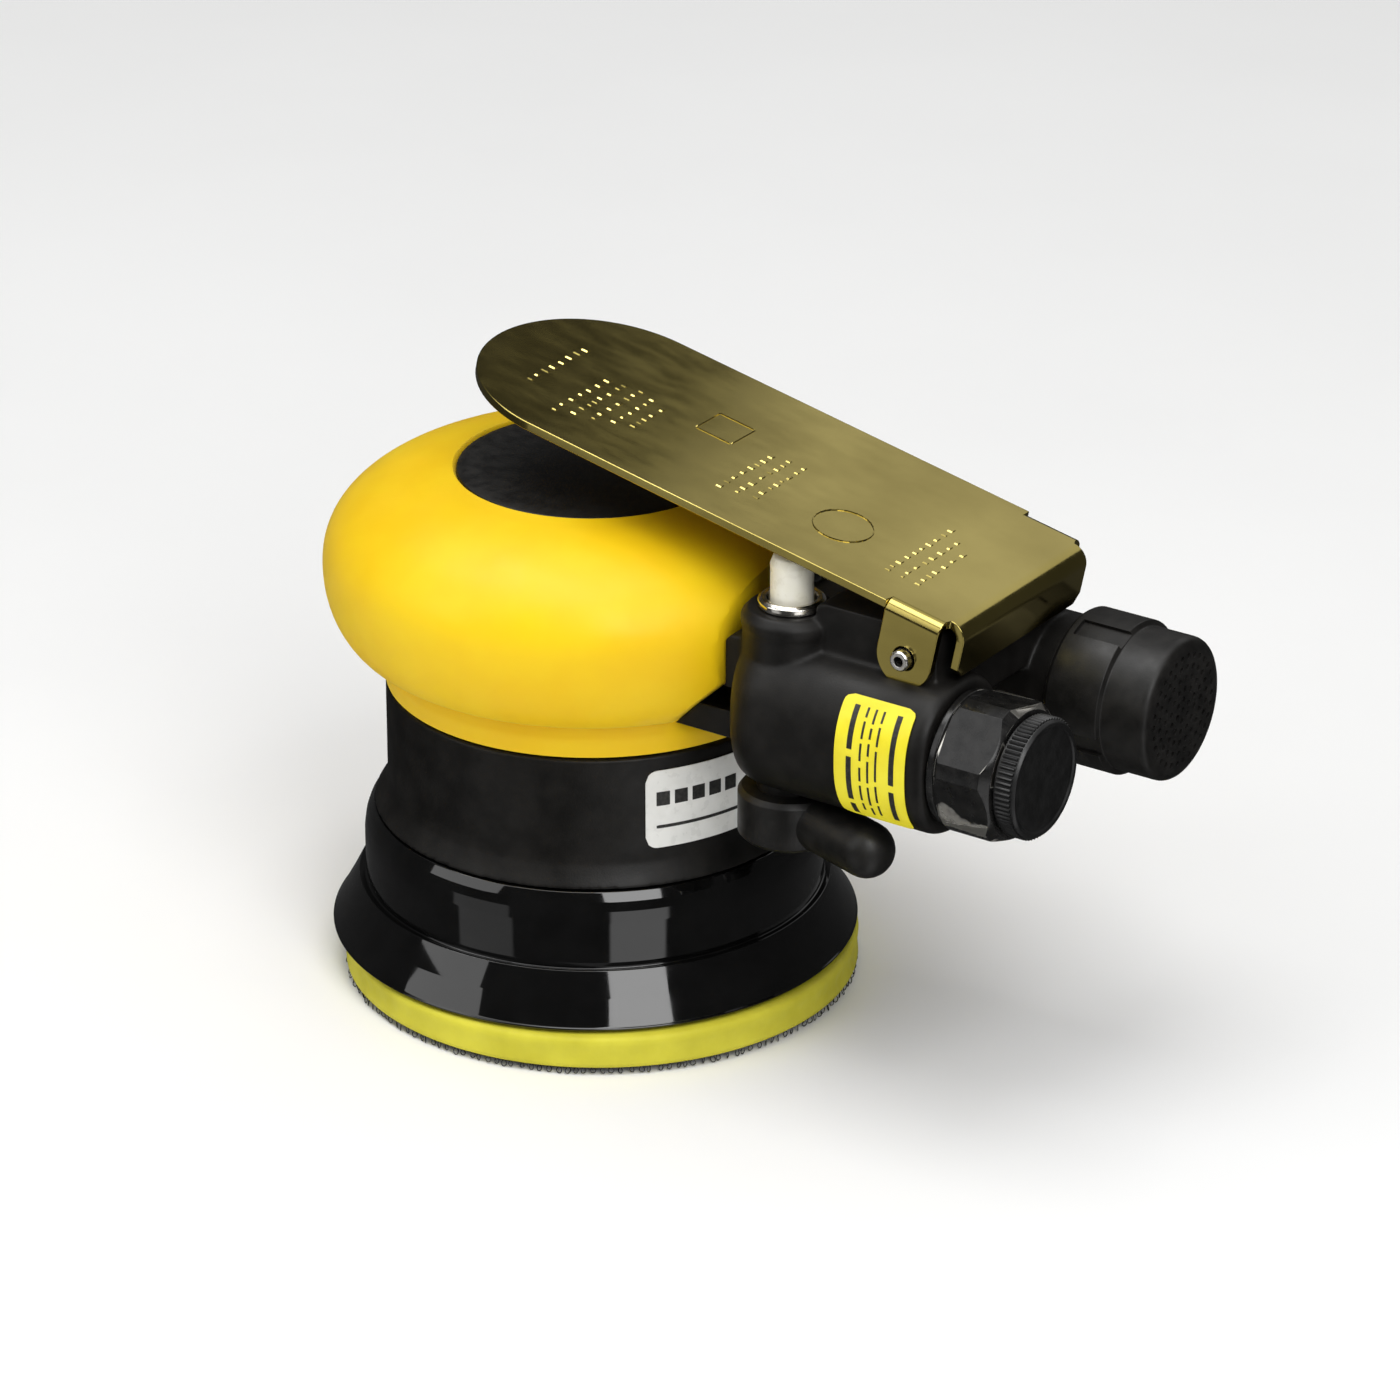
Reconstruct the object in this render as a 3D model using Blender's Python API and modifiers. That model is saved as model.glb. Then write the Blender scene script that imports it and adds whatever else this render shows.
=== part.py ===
"""Air-driven random-orbital palm sander with a 77 mm pad, built from its separate pieces.

The frame is in metres with +Z up. The origin is on the motor axis at the underside of the
pad, and +X points to the rear, where the air inlet (-Y side) and the muffler (+Y side) are.
Sizes below are in millimetres and MM turns them into metres.
"""
from math import cos, pi, radians, sin, tau

import bmesh
import bpy
from mathutils import Matrix, Vector

MM = 0.001
GAP = 0.3                       # clearance kept between pieces that touch

# Pad and orbit
PAD_RADIUS = 38.5
ORBIT_OFFSET = 2.5              # a 5 mm orbit
ORBIT_ANGLE = radians(-32)
PAD_AXIS = (ORBIT_OFFSET * cos(ORBIT_ANGLE), ORBIT_OFFSET * sin(ORBIT_ANGLE), 0)
HOOK_TOP = 1.4
FOAM_TOP = 6.0
BACKING_TOP = 9.4
BACKING_RADIUS = 32.0

# Shroud and housing shell
RIM_RADIUS = 39.5
RIM_Z = 6.4
SHROUD_RADIUS = 34.4
SHROUD_TOP = 25.8
SPIGOT_RADIUS = 31.2
SPIGOT_BOTTOM = 17.0
BODY_RADIUS = 30.8
BORE_RADIUS = 25.2
BORE_TOP = 68.0
BODY_LEDGE = 45.8
COLLAR_TOP = 51.0
GRIP_RADIUS = 39.65
GRIP_MIDDLE = 64.2
DOME_TOP = 79.2
DISC_RADIUS = 20.1

# Rear arms
INLET_Y = -15.0
MUFFLER_Y = 15.5
ARM_Z = 57.5
BARREL_FRONT = 38.4
BARREL_END = 73.4
BARREL_HALF_WIDTH = 10.8
BARREL_HALF_HEIGHT = 11.3
BARREL_SQUARENESS = 2.35        # exponent of the superellipse section
STEM_X = 44.9
BOSS_RADIUS = 7.0
BOSS_TOP = 73.5
CHAMBER_RADIUS = 5.8
CHAMBER_END = 57.0
VALVE_BORE_RADIUS = 8.0
MUFFLER_START = 74.6
MUFFLER_END = 91.2
MUFFLER_RADIUS = 10.6
GRIP_CUT_X = 34.8               # the grip stops here, ahead of the arms
HEX_FLATS = 19.0                # across the flats of the inlet bushing
HEX_TURN = radians(13)          # how far one corner is turned up from -Y
TIP_PIVOT = (60.0, INLET_Y, 63.8)
CONTROL_ANGLE = radians(-18)    # where the finger bar points, from +X

# Throttle lever
PIN_X = 66.0
PIN_Z = 72.0
PIN_RADIUS = 1.5
LEVER_PITCH = radians(11.5)
LEVER_TOP = 7.4                 # plate surface above the pin, square to the plate
LEVER_HALF_WIDTH = 18.9
LEVER_REACH = 85.2              # pin to tip, along the plate
LEVER_THICKNESS = 1.3
LUG_HALF_WIDTH = 17.2
EAR_RADIUS = 4.5

# Motor
ROTOR_RADIUS = 18.0
ROTOR_BOTTOM = 36.5
ROTOR_TOP = 60.9
CYLINDER_BORE = 20.6
CYLINDER_OFFSET = -2.2          # the bore sits off the motor axis towards the front
SHAFT_RADIUS = 5.2
VANE_COUNT = 5
DOWEL_X = 21.8


def clear_scene():
    for leftover in list(bpy.data.objects):
        bpy.data.objects.remove(leftover, do_unlink=True)


def make_collection(name):
    collection = bpy.data.collections.new(name)
    bpy.context.scene.collection.children.link(collection)
    return collection


def make_material(name, colour, roughness, metallic=0.0):
    material = bpy.data.materials.new(name)
    material.use_nodes = True
    shader = material.node_tree.nodes["Principled BSDF"]
    shader.inputs["Base Color"].default_value = (*colour, 1.0)
    shader.inputs["Roughness"].default_value = roughness
    shader.inputs["Metallic"].default_value = metallic
    return material


def metres(point):
    return Vector(point) * MM


def add_object(name, mesh, material, at=(0, 0, 0), rotation=(0, 0, 0)):
    """Put a mesh in the part's collection, or among the cutters if it has no material."""
    obj = bpy.data.objects.new(name, mesh)
    obj.location = metres(at)
    obj.rotation_euler = rotation
    if material is None:
        cutters.objects.link(obj)
        obj.hide_render = True
        obj.display_type = "WIRE"
    else:
        mesh.materials.append(material)
        parts.objects.link(obj)
    return obj


AXIS_ROTATION = {"Z": (0, 0, 0), "X": (0, pi / 2, 0), "Y": (-pi / 2, 0, 0)}


def signed_area(points):
    following = points[1:] + points[:1]
    return sum(a[0] * b[1] - b[0] * a[1] for a, b in zip(points, following)) / 2


def turned(name, profile, material=None, at=(0, 0, 0), axis="Z", steps=24):
    """Turn a profile of (radius, height) points about an axis through the point `at`.

    A profile with both ends on the axis makes a solid, and any other makes a ring.
    """
    points = list(profile)
    if signed_area(points) > 0:
        points.reverse()
    solid = min(radius for radius, _ in points) == 0
    if solid:
        while points[0][0] != 0 or points[-1][0] != 0:
            points.append(points.pop(0))
    mesh = bpy.data.meshes.new(name)
    edges = [(i, i + 1) for i in range(len(points) - 1)]
    if not solid:
        edges.append((len(points) - 1, 0))
    mesh.from_pydata([metres((radius, 0, height)) for radius, height in points], edges, [])
    obj = add_object(name, mesh, material, at, AXIS_ROTATION[axis])
    screw = obj.modifiers.new("Turn", "SCREW")
    screw.steps = steps
    screw.render_steps = steps
    screw.use_merge_vertices = True
    screw.merge_threshold = 0.00001
    return obj


def rod(name, radius, start, end, material=None, at=(0, 0, 0), axis="Z", steps=16, chamfer=0):
    profile = [(0, end), (radius - chamfer, end), (radius, end - chamfer),
               (radius, start + chamfer), (radius - chamfer, start), (0, start)]
    if not chamfer:
        profile = [(0, end), (radius, end), (radius, start), (0, start)]
    return turned(name, profile, material, at, axis, steps)


def ring(name, outer, inner, start, end, material=None, at=(0, 0, 0), axis="Z", steps=24):
    profile = [(inner, end), (outer, end), (outer, start), (inner, start)]
    return turned(name, profile, material, at, axis, steps)


def o_ring(name, major, minor, height, material, at, axis="Z"):
    profile = [(major + minor * cos(tau * i / 6), height + minor * sin(tau * i / 6))
               for i in range(6)]
    return turned(name, profile, material, at, axis, 18)


def box(name, low, high, material=None, at=None, bevel=0):
    """Make a box between two corners, with its origin at `at` or at its middle."""
    low, high = Vector(low), Vector(high)
    origin = (low + high) / 2 if at is None else Vector(at)
    mesh = bpy.data.meshes.new(name)
    shape = bmesh.new()
    bmesh.ops.create_cube(shape, size=1)
    size = (high - low) * MM
    place = Matrix.Translation(((low + high) / 2 - origin) * MM) @ Matrix.Diagonal((*size, 1))
    bmesh.ops.transform(shape, matrix=place, verts=shape.verts)
    shape.to_mesh(mesh)
    shape.free()
    obj = add_object(name, mesh, material, origin)
    if bevel:
        soften(obj, bevel, 2)
    return obj


def plate(name, outline, thickness, material=None, at=(0, 0, 0), rotation=(0, 0, 0)):
    """Extrude a flat outline of (x, y) points by half the thickness to each side."""
    mesh = bpy.data.meshes.new(name)
    shape = bmesh.new()
    points = list(outline)
    if signed_area(points) < 0:
        points.reverse()
    base = shape.faces.new([shape.verts.new(metres((x, y, thickness / 2))) for x, y in points])
    base.normal_update()
    extruded = bmesh.ops.extrude_face_region(shape, geom=[base], use_keep_orig=True)
    moved = [item for item in extruded["geom"] if isinstance(item, bmesh.types.BMVert)]
    bmesh.ops.translate(shape, verts=moved, vec=(0, 0, -thickness * MM))
    bmesh.ops.recalc_face_normals(shape, faces=shape.faces)
    shape.to_mesh(mesh)
    shape.free()
    return add_object(name, mesh, material, at, rotation)


def soften(obj, width, segments, limit="ANGLE"):
    """Round the sharp edges, or only those with a bevel weight."""
    bevel = obj.modifiers.new("Soften", "BEVEL")
    bevel.width = width * MM
    bevel.segments = segments
    bevel.limit_method = limit
    bevel.angle_limit = radians(40)
    return obj


def hang_on_pivot(obj, name, pivot):
    """Parent a piece to an empty on its joint's axis, without moving the piece."""
    empty = bpy.data.objects.new(name, None)
    empty.location = metres(pivot)
    parts.objects.link(empty)
    obj.parent = empty
    obj.location -= empty.location


def combine(target, tool, operation):
    """Add a Boolean that joins the tool to the target or cuts it away."""
    boolean = target.modifiers.new(operation.title(), "BOOLEAN")
    boolean.object = tool
    boolean.operation = operation
    boolean.solver = "EXACT"


def join(target, *tools):
    for tool in tools:
        combine(target, tool, "UNION")


def cut(target, *tools):
    for tool in tools:
        combine(target, tool, "DIFFERENCE")


def arc(centre, radius, start, end, count):
    """Points of a circular arc between two angles in degrees."""
    angles = [radians(start + (end - start) * i / count) for i in range(count + 1)]
    return [(centre[0] + radius * cos(a), centre[1] + radius * sin(a)) for a in angles]


# ---------------------------------------------------------------- housing and grip

def grip_curve(shrink=0.0):
    """The grip's outer curve from the top disc to the undercut above the collar.

    Above the widest height it is a superellipse, and below it a rounder quarter.
    """
    count = 6
    top = DOME_TOP - GRIP_MIDDLE
    crown = []
    for i in range(count + 1):
        radius = DISC_RADIUS + (GRIP_RADIUS - DISC_RADIUS) * sin(pi / 2 * i / count)
        reach = (radius - 8.0) / (GRIP_RADIUS - 8.0)
        height = GRIP_MIDDLE + 1.03 * top * (1 - reach ** 2.6) ** (1 / 2.3)
        crown.append((radius - shrink, min(height, DOME_TOP) - shrink * 0.9))
    belly = [(31.4 + 8.25 * cos(t) - shrink, GRIP_MIDDLE - 12.4 * sin(t))
             for t in (radians(90 * i / 4) for i in range(1, 5))]
    return crown + belly


def barrel_ring(x, width_scale, height_scale):
    """One superellipse section of the inlet barrel."""
    count = 24
    power = 2 / BARREL_SQUARENESS
    points = []
    for i in range(count):
        c, s = cos(tau * i / count), sin(tau * i / count)
        across = BARREL_HALF_WIDTH * width_scale * abs(c) ** power * (1 if c > 0 else -1)
        upward = BARREL_HALF_HEIGHT * height_scale * abs(s) ** power * (1 if s > 0 else -1)
        points.append(metres((x, INLET_Y + across, ARM_Z + upward)))
    return points


def make_barrel():
    """Loft the inlet barrel. Its front end is rounder in plan than it is in height."""
    depth, count = 7.0, 4
    stations = []
    for i in range(count + 1):
        back = cos(pi / 2 * i / count)
        rounding = sin(pi / 2 * i / count)
        stations.append((BARREL_FRONT + depth * (1 - back),
                         0.35 + 0.65 * rounding, 0.72 + 0.28 * rounding ** 0.5))
    stations += [(BARREL_END - 0.6, 1.0, 1.0), (BARREL_END, 0.95, 0.95)]
    shape = bmesh.new()
    rings = [[shape.verts.new(point) for point in barrel_ring(*station)]
             for station in stations]
    for first, second in zip(rings, rings[1:]):
        for i in range(len(first)):
            j = (i + 1) % len(first)
            shape.faces.new((first[i], first[j], second[j], second[i]))
    shape.faces.new(rings[0])
    shape.faces.new(list(reversed(rings[-1])))
    bmesh.ops.recalc_face_normals(shape, faces=shape.faces)
    mesh = bpy.data.meshes.new("barrel")
    shape.to_mesh(mesh)
    shape.free()
    return add_object("barrel", mesh, None)


def make_housing():
    """The moulded body: motor sleeve, dome, web, inlet barrel, valve boss, lug and exhaust arm."""
    dome = [(radius, height) for radius, height in grip_curve(3.6) if height > COLLAR_TOP + 3]
    shoulder = [(BODY_RADIUS, 31.0), (31.1, 29.4), (31.7, 28.0), (32.6, SHROUD_TOP + 0.3)]
    profile = [(0, DOME_TOP - 1.4), (DISC_RADIUS - 1, DOME_TOP - 1.4)]
    profile += dome[1:]
    profile += [(27.6, COLLAR_TOP - 0.6), (27.6, BODY_LEDGE), (BODY_RADIUS - 0.4, BODY_LEDGE),
                (BODY_RADIUS, BODY_LEDGE - 0.4)]
    profile += shoulder
    profile += [(SPIGOT_RADIUS, SHROUD_TOP + 0.3), (SPIGOT_RADIUS, SPIGOT_BOTTOM),
                (BORE_RADIUS, SPIGOT_BOTTOM), (BORE_RADIUS, BORE_TOP), (0, BORE_TOP)]
    housing = turned("housing", profile, composite, steps=40)

    web = plate("web", [(26.6, COLLAR_TOP + 0.3), (35.1, 59.9), (35.1, 67.5), (43, 67.5),
                        (43, COLLAR_TOP + 0.3)],
                35.0, rotation=(pi / 2, 0, 0))
    boss = turned("boss", [(0, 60), (BOSS_RADIUS, 60), (BOSS_RADIUS, BOSS_TOP - 0.8),
                           (BOSS_RADIUS - 0.8, BOSS_TOP), (0, BOSS_TOP)],
                  at=(STEM_X, INLET_Y, 0), steps=32)
    lug = box("lug", (50.2, -LUG_HALF_WIDTH, 62), (70.3, LUG_HALF_WIDTH, 76), bevel=0.8)
    exhaust = rod("exhaust_arm", 9.6, 35.1, MUFFLER_START - GAP, at=(0, MUFFLER_Y, ARM_Z),
                  axis="X", steps=32)
    join(housing, web, make_barrel(), boss, lug, exhaust)

    inlet = (0, INLET_Y, ARM_Z)
    outlet = (0, MUFFLER_Y, ARM_Z)
    stem = (STEM_X, INLET_Y, 0)
    cut(housing,
        turned("valve_bore", [(0, 76), (9.2, 76), (9.2, 71.6), (VALVE_BORE_RADIUS, 71.6),
                              (VALVE_BORE_RADIUS, CHAMBER_END), (CHAMBER_RADIUS, CHAMBER_END),
                              (CHAMBER_RADIUS, 40.6), (0, 40.6)], at=inlet, axis="X"),
        rod("air_passage", 3.0, 18, 42, at=inlet, axis="X", steps=16),
        rod("stem_bore", 4.3, 56, 78, at=stem, steps=20),
        rod("control_bore", 5.25, 42, 53.4, at=stem, steps=20),
        rod("exhaust_bore", 7.8, 46, 78, at=outlet, axis="X", steps=24),
        rod("exhaust_passage", 4.0, 16, 49, at=outlet, axis="X"),
        rod("pin_bore", PIN_RADIUS + GAP, -20, 20, at=(PIN_X, 0, PIN_Z), axis="Y", steps=16),
        rod("ear_pocket", EAR_RADIUS + 0.5, -LEVER_HALF_WIDTH - 0.5, -LUG_HALF_WIDTH - 0.05,
            at=(PIN_X, 0, PIN_Z), axis="Y"))
    return housing


def make_grip():
    """The rubber grip: a mushroom cover with a collar, cut away ahead of the arms."""
    outer = grip_curve()
    collar = [(30.6, COLLAR_TOP + 0.1), (31.2, COLLAR_TOP - 1.4), (31.0, 48.0), (30.4, 46.2)]
    inner = [(radius, height) for radius, height in grip_curve(3.3) if height > COLLAR_TOP + 3]
    inner = [(DISC_RADIUS - GAP, DOME_TOP - 1.1)] + inner[1:]
    inner += [(27.9, COLLAR_TOP - 0.5), (27.9, 46.2)]
    disc_hole = [(DISC_RADIUS, DOME_TOP)]
    profile = disc_hole + outer[1:] + collar + list(reversed(inner))
    grip = turned("grip", profile, rubber, steps=40)
    notch = plate("grip_notch", [(26.2, COLLAR_TOP), (GRIP_CUT_X, 59.7), (GRIP_CUT_X, 90),
                                 (60, 90), (60, COLLAR_TOP)],
                  100.0, rotation=(pi / 2, 0, 0))
    cut(grip, notch)
    return grip


def make_top_disc():
    return rod("top_disc", DISC_RADIUS - GAP - 0.2, DOME_TOP - 1.1, DOME_TOP, composite_fine,
               steps=32, chamfer=0.2)


def make_shroud():
    """The glossy skirt around the pad: a band, a V-groove and a flared rim."""
    profile = [(SPIGOT_RADIUS + GAP, SHROUD_TOP), (32.7, SHROUD_TOP), (33.7, SHROUD_TOP - 1.0),
               (34.2, SHROUD_TOP - 2.4), (SHROUD_RADIUS, SHROUD_TOP - 4), (SHROUD_RADIUS, 13.9),
               (34.7, 13.5), (35.3, 14.2), (36.2, 11.2), (37.6, 8.6), (39.1, 7.0),
               (RIM_RADIUS, RIM_Z), (38.3, RIM_Z), (37.0, 8.4), (SPIGOT_RADIUS + GAP, 14.4)]
    return turned("shroud", profile, gloss, steps=40)


def make_side_label():
    """The name-plate sticker on the housing, a patch of a thin ring."""
    label = ring("side_label", BODY_RADIUS + 0.7, BODY_RADIUS + GAP, 31.2, 43.8, label_white,
                 steps=64)
    wedge = plate("label_wedge", [(0, 0)] + arc((0, 0), 60, -41, -1, 6), 60, at=(0, 0, 37.5))
    combine(label, wedge, "INTERSECT")
    return label


# ---------------------------------------------------------------- throttle and inlet

def make_lever():
    """The throttle lever, bent from sheet: a plate, two ears and a rear flange.

    Only the three bends join two faces of the sheet, and they are rounded.

    It is drawn about the hinge pin with x along the plate, and pitched as a whole.
    """
    top, side, rear = LEVER_TOP, LEVER_HALF_WIDTH, 7.0
    flange = side - 2.6
    tip = [(side - LEVER_REACH + side * cos(a), side * sin(a)) for a in
           (radians(90 + 180 * i / 12) for i in range(13))]
    shape = bmesh.new()

    def vertex(x, y, z=top):
        return shape.verts.new(metres((x, y, z)))

    edge = {}
    for sign in (1, -1):
        edge[sign] = [vertex(-EAR_RADIUS, sign * side), vertex(EAR_RADIUS, sign * side),
                      vertex(EAR_RADIUS, sign * flange), vertex(rear, sign * flange)]
    rounded = [vertex(x, y) for x, y in tip]
    faces = [shape.faces.new(list(reversed(edge[1])) + rounded + edge[-1])]
    for sign in (1, -1):
        start, end = edge[sign][:2]
        bottom = [vertex(x, sign * side, z) for x, z in arc((0, 0), EAR_RADIUS, 0, -180, 8)]
        faces.append(shape.faces.new([start, end] + bottom))
    low, corner = LEVER_TOP - 8.4, 1.5
    faces.append(shape.faces.new(
        [edge[-1][3], vertex(rear, -flange, low + corner), vertex(rear, corner - flange, low),
         vertex(rear, flange - corner, low), vertex(rear, flange, low + corner), edge[1][3]]))
    bmesh.ops.recalc_face_normals(shape, faces=shape.faces)
    if faces[0].normal.z < 0:
        bmesh.ops.reverse_faces(shape, faces=shape.faces)
    weight = shape.edges.layers.float.new("bevel_weight_edge")
    for bend in shape.edges:
        bend[weight] = 1.0 if len(bend.link_faces) == 2 else 0.0
    mesh = bpy.data.meshes.new("throttle_lever")
    shape.to_mesh(mesh)
    shape.free()
    lever = add_object("throttle_lever", mesh, lever_metal, (PIN_X, 0, PIN_Z),
                       (0, LEVER_PITCH, 0))
    soften(lever, 1.5, 3, "WEIGHT")
    sheet = lever.modifiers.new("Sheet", "SOLIDIFY")
    sheet.thickness = LEVER_THICKNESS * MM
    sheet.offset = -1
    sheet.use_even_offset = True
    cut(lever, rod("ear_holes", PIN_RADIUS + GAP, -24, 24, at=(PIN_X, 0, PIN_Z), axis="Y",
                   steps=16))
    return lever


def make_lever_pin():
    return turned("lever_pin", [(0.75, 20.3), (1.2, 20.3), (PIN_RADIUS, 20.0),
                                (PIN_RADIUS, -20.0), (1.2, -20.3), (0.75, -20.3)],
                  steel, at=(PIN_X, 0, PIN_Z), axis="Y", steps=16)


def make_stem_parts():
    at = (STEM_X, INLET_Y, 0)
    turned("valve_bushing", [(3.5, 62.5), (4.0, 62.5), (4.0, BOSS_TOP + GAP),
                             (4.8, BOSS_TOP + GAP), (4.8, BOSS_TOP + 1.1),
                             (4.5, BOSS_TOP + 1.4), (3.5, BOSS_TOP + 1.4)],
           nickel, at, steps=20)
    tip = 3.1
    turned("valve_stem", [(0, 82.0), (1.6, 81.8), (2.6, 81.2), (tip, 80.3), (tip, 66.9),
                          (2.1, 66.9), (2.1, 65.3), (tip, 65.3), (tip, 61.2), (1.6, 60.4),
                          (1.6, 59.2), (1.2, 58.9), (0, 58.9)],
           acetal, at, steps=20)
    o_ring("stem_o_ring", 2.85, 0.42, 66.1, seal_rubber, at)


def make_inlet_parts():
    at = (0, INLET_Y, ARM_Z)
    ring("valve_seat", VALVE_BORE_RADIUS - GAP, 4.6, CHAMBER_END + GAP, 59.6, nickel, at, "X")
    tip = turned("tip_valve", [(0, 41.8), (0.8, 41.8), (1.0, 42.0), (1.0, 60.0), (6.0, 60.0),
                               (6.0, 61.4), (2.0, 61.8), (0, 61.8)],
                 seal_rubber, at, "X", steps=20)
    hang_on_pivot(tip, "tip_valve_pivot", TIP_PIVOT)
    make_valve_spring()

    turn = 10.25
    blank = turned("inlet_bushing", [(5.2, 83.6), (8.9, 83.6), (turn, 82.5), (turn, 75.0),
                                     (9.8, 74.5), (9.8, 73.7), (7.6, 73.7), (7.6, 71.0),
                                     (5.2, 71.0)],
                   black_steel, at, "X", steps=36)
    corner = HEX_FLATS / 3 ** 0.5
    turns = [HEX_TURN + tau * i / 6 for i in range(6)]
    hexagon = [(-corner * sin(angle), -corner * cos(angle)) for angle in turns]
    prism = plate("hexagon", hexagon, 40, at=(80, INLET_Y, ARM_Z), rotation=(0, pi / 2, 0))
    combine(blank, prism, "INTERSECT")
    o_ring("inlet_o_ring", 8.35, 0.42, 72.5, seal_rubber, at, "X")
    screen = rod("inlet_screen", 4.9, 73.6, 74.4, steel, at, "X")
    cut(screen, *[rod("screen_hole", 0.9, 73, 75,
                      at=(0, INLET_Y + 2.7 * cos(tau * i / 6), ARM_Z + 2.7 * sin(tau * i / 6)),
                      axis="X", steps=8) for i in range(6)])
    make_inlet_plug(at)


def make_inlet_plug(at):
    """The push-in dust plug with its round rim."""
    turned("inlet_plug", [(0, 78.0), (4.6, 78.0), (4.9, 78.4), (4.9, 83.9), (8.9, 83.9),
                          (8.9, 87.0), (8.7, 87.2), (0, 87.2)], plug_black, at, "X", steps=32)


def make_valve_spring():
    """The conical spring that seats the tip valve, a round wire on a helix."""
    turns, per_turn = 4, 9
    curve = bpy.data.curves.new("valve_spring", "CURVE")
    curve.dimensions = "3D"
    curve.bevel_depth = 0.35 * MM
    curve.bevel_resolution = 2
    curve.use_fill_caps = True
    line = curve.splines.new("POLY")
    count = turns * per_turn
    line.points.add(count)
    for i, point in enumerate(line.points):
        share = i / count
        angle = tau * turns * share
        radius = 4.0 + 2.4 * share
        point.co = (*metres((62.6 + 7.6 * share, radius * cos(angle), radius * sin(angle))), 1)
    spring = bpy.data.objects.new("valve_spring", curve)
    spring.location = metres((0, INLET_Y, ARM_Z))
    curve.materials.append(steel)
    parts.objects.link(spring)


def make_inlet_label():
    """The yellow sticker wrapped round the outer side of the inlet barrel."""
    thickness, reach = 0.4, 50
    power = 2 / BARREL_SQUARENESS
    shape = bmesh.new()
    loops = []
    for x in (59.3, 71.0):
        loop = []
        for i in range(13):
            angle = radians(-reach + 2 * reach * i / 12)
            c, s = cos(angle), sin(angle)
            across = -(BARREL_HALF_WIDTH + GAP) * c ** power
            upward = (BARREL_HALF_HEIGHT + GAP) * abs(s) ** power * (1 if s > 0 else -1)
            loop.append(shape.verts.new(metres((x, across, upward))))
        loops.append(loop)
    for i in range(12):
        shape.faces.new((loops[0][i], loops[1][i], loops[1][i + 1], loops[0][i + 1]))
    bmesh.ops.recalc_face_normals(shape, faces=shape.faces)
    mesh = bpy.data.meshes.new("inlet_label")
    shape.to_mesh(mesh)
    shape.free()
    label = add_object("inlet_label", mesh, label_yellow, (0, INLET_Y, ARM_Z))
    sheet = label.modifiers.new("Sheet", "SOLIDIFY")
    sheet.thickness = thickness * MM
    sheet.offset = 1


def make_speed_control():
    """The air-flow control: a ported plug under the barrel with a rounded finger bar."""
    at = (STEM_X, INLET_Y, 0)
    control = turned("speed_control", [(0, 37.8), (6.8, 37.8), (7.6, 38.6), (7.6, 44.8),
                                       (7.0, 45.6), (4.9, 45.6), (4.9, 48.0), (4.2, 48.0),
                                       (4.2, 49.3), (4.9, 49.3), (4.9, 50.9), (0, 50.9)],
                     composite_fine, at, steps=24)
    length, radius = 17.2, 4.1
    capsule = [(0, length + radius)]
    capsule += [(radius * sin(radians(a)), length + radius * cos(radians(a)))
                for a in (30, 60, 90)]
    capsule += [(radius, 0), (0, 0)]
    bar = turned("control_bar", capsule, at=(STEM_X, INLET_Y, 41.8), steps=16)
    bar.rotation_euler = (0, pi / 2, CONTROL_ANGLE)
    join(control, bar)
    cut(control, box("port_slot", (STEM_X - 1.6, INLET_Y - 6, 49.9),
                     (STEM_X + 1.6, INLET_Y + 6, 52)))
    ring("control_ring", 5.1, 4.55, 48.35, 48.95, steel, at, steps=24)


# ---------------------------------------------------------------- muffler

def make_muffler():
    at = (0, MUFFLER_Y, ARM_Z)
    end, rim = MUFFLER_END, MUFFLER_RADIUS
    profile = [(y, end - 1.8 + x) for x, y in arc((0, rim - 1.8), 1.8, 0, 90, 3)]
    profile += [(rim, 83.9), (11.4, 83.7), (11.4, MUFFLER_START + 0.4),
                (11.0, MUFFLER_START), (8.9, MUFFLER_START), (8.9, end - 1.6), (0, end - 1.6),
                (0, end)]
    muffler = turned("muffler_body", profile, composite_fine, at, "X", steps=32)
    cut(muffler, *[notch(angle) for angle in (20, 110, 200, 290)])
    for radius, count in ((0, 1), (5.2, 8)):
        for i in range(count):
            angle = tau * i / count + radians(7)
            y, z = MUFFLER_Y + radius * cos(angle), ARM_Z + radius * sin(angle)
            cut(muffler, rod("vent", 1.1, end - 3, end + 2, at=(0, y, z), axis="X",
                             steps=6))
    turned("muffler_sleeve", [(7.5, 66), (7.5, 75.2), (8.6, 75.2), (8.6, 77.4), (5.9, 77.4),
                              (5.9, 66)], plug_black, at, "X", steps=24)
    rod("muffler_insert", 8.5, 77.8, end - 2.0, felt, at, "X", steps=24)


def notch(angle):
    """A slot between two raised grip segments of the muffler."""
    slot = box("muffler_notch", (MUFFLER_START + 1.4, -1.6, 10.7), (85, 1.6, 14),
               at=(0, 0, 0))
    slot.location = metres((0, MUFFLER_Y, ARM_Z))
    slot.rotation_euler = (radians(angle), 0, 0)
    return slot


# ---------------------------------------------------------------- motor

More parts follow.
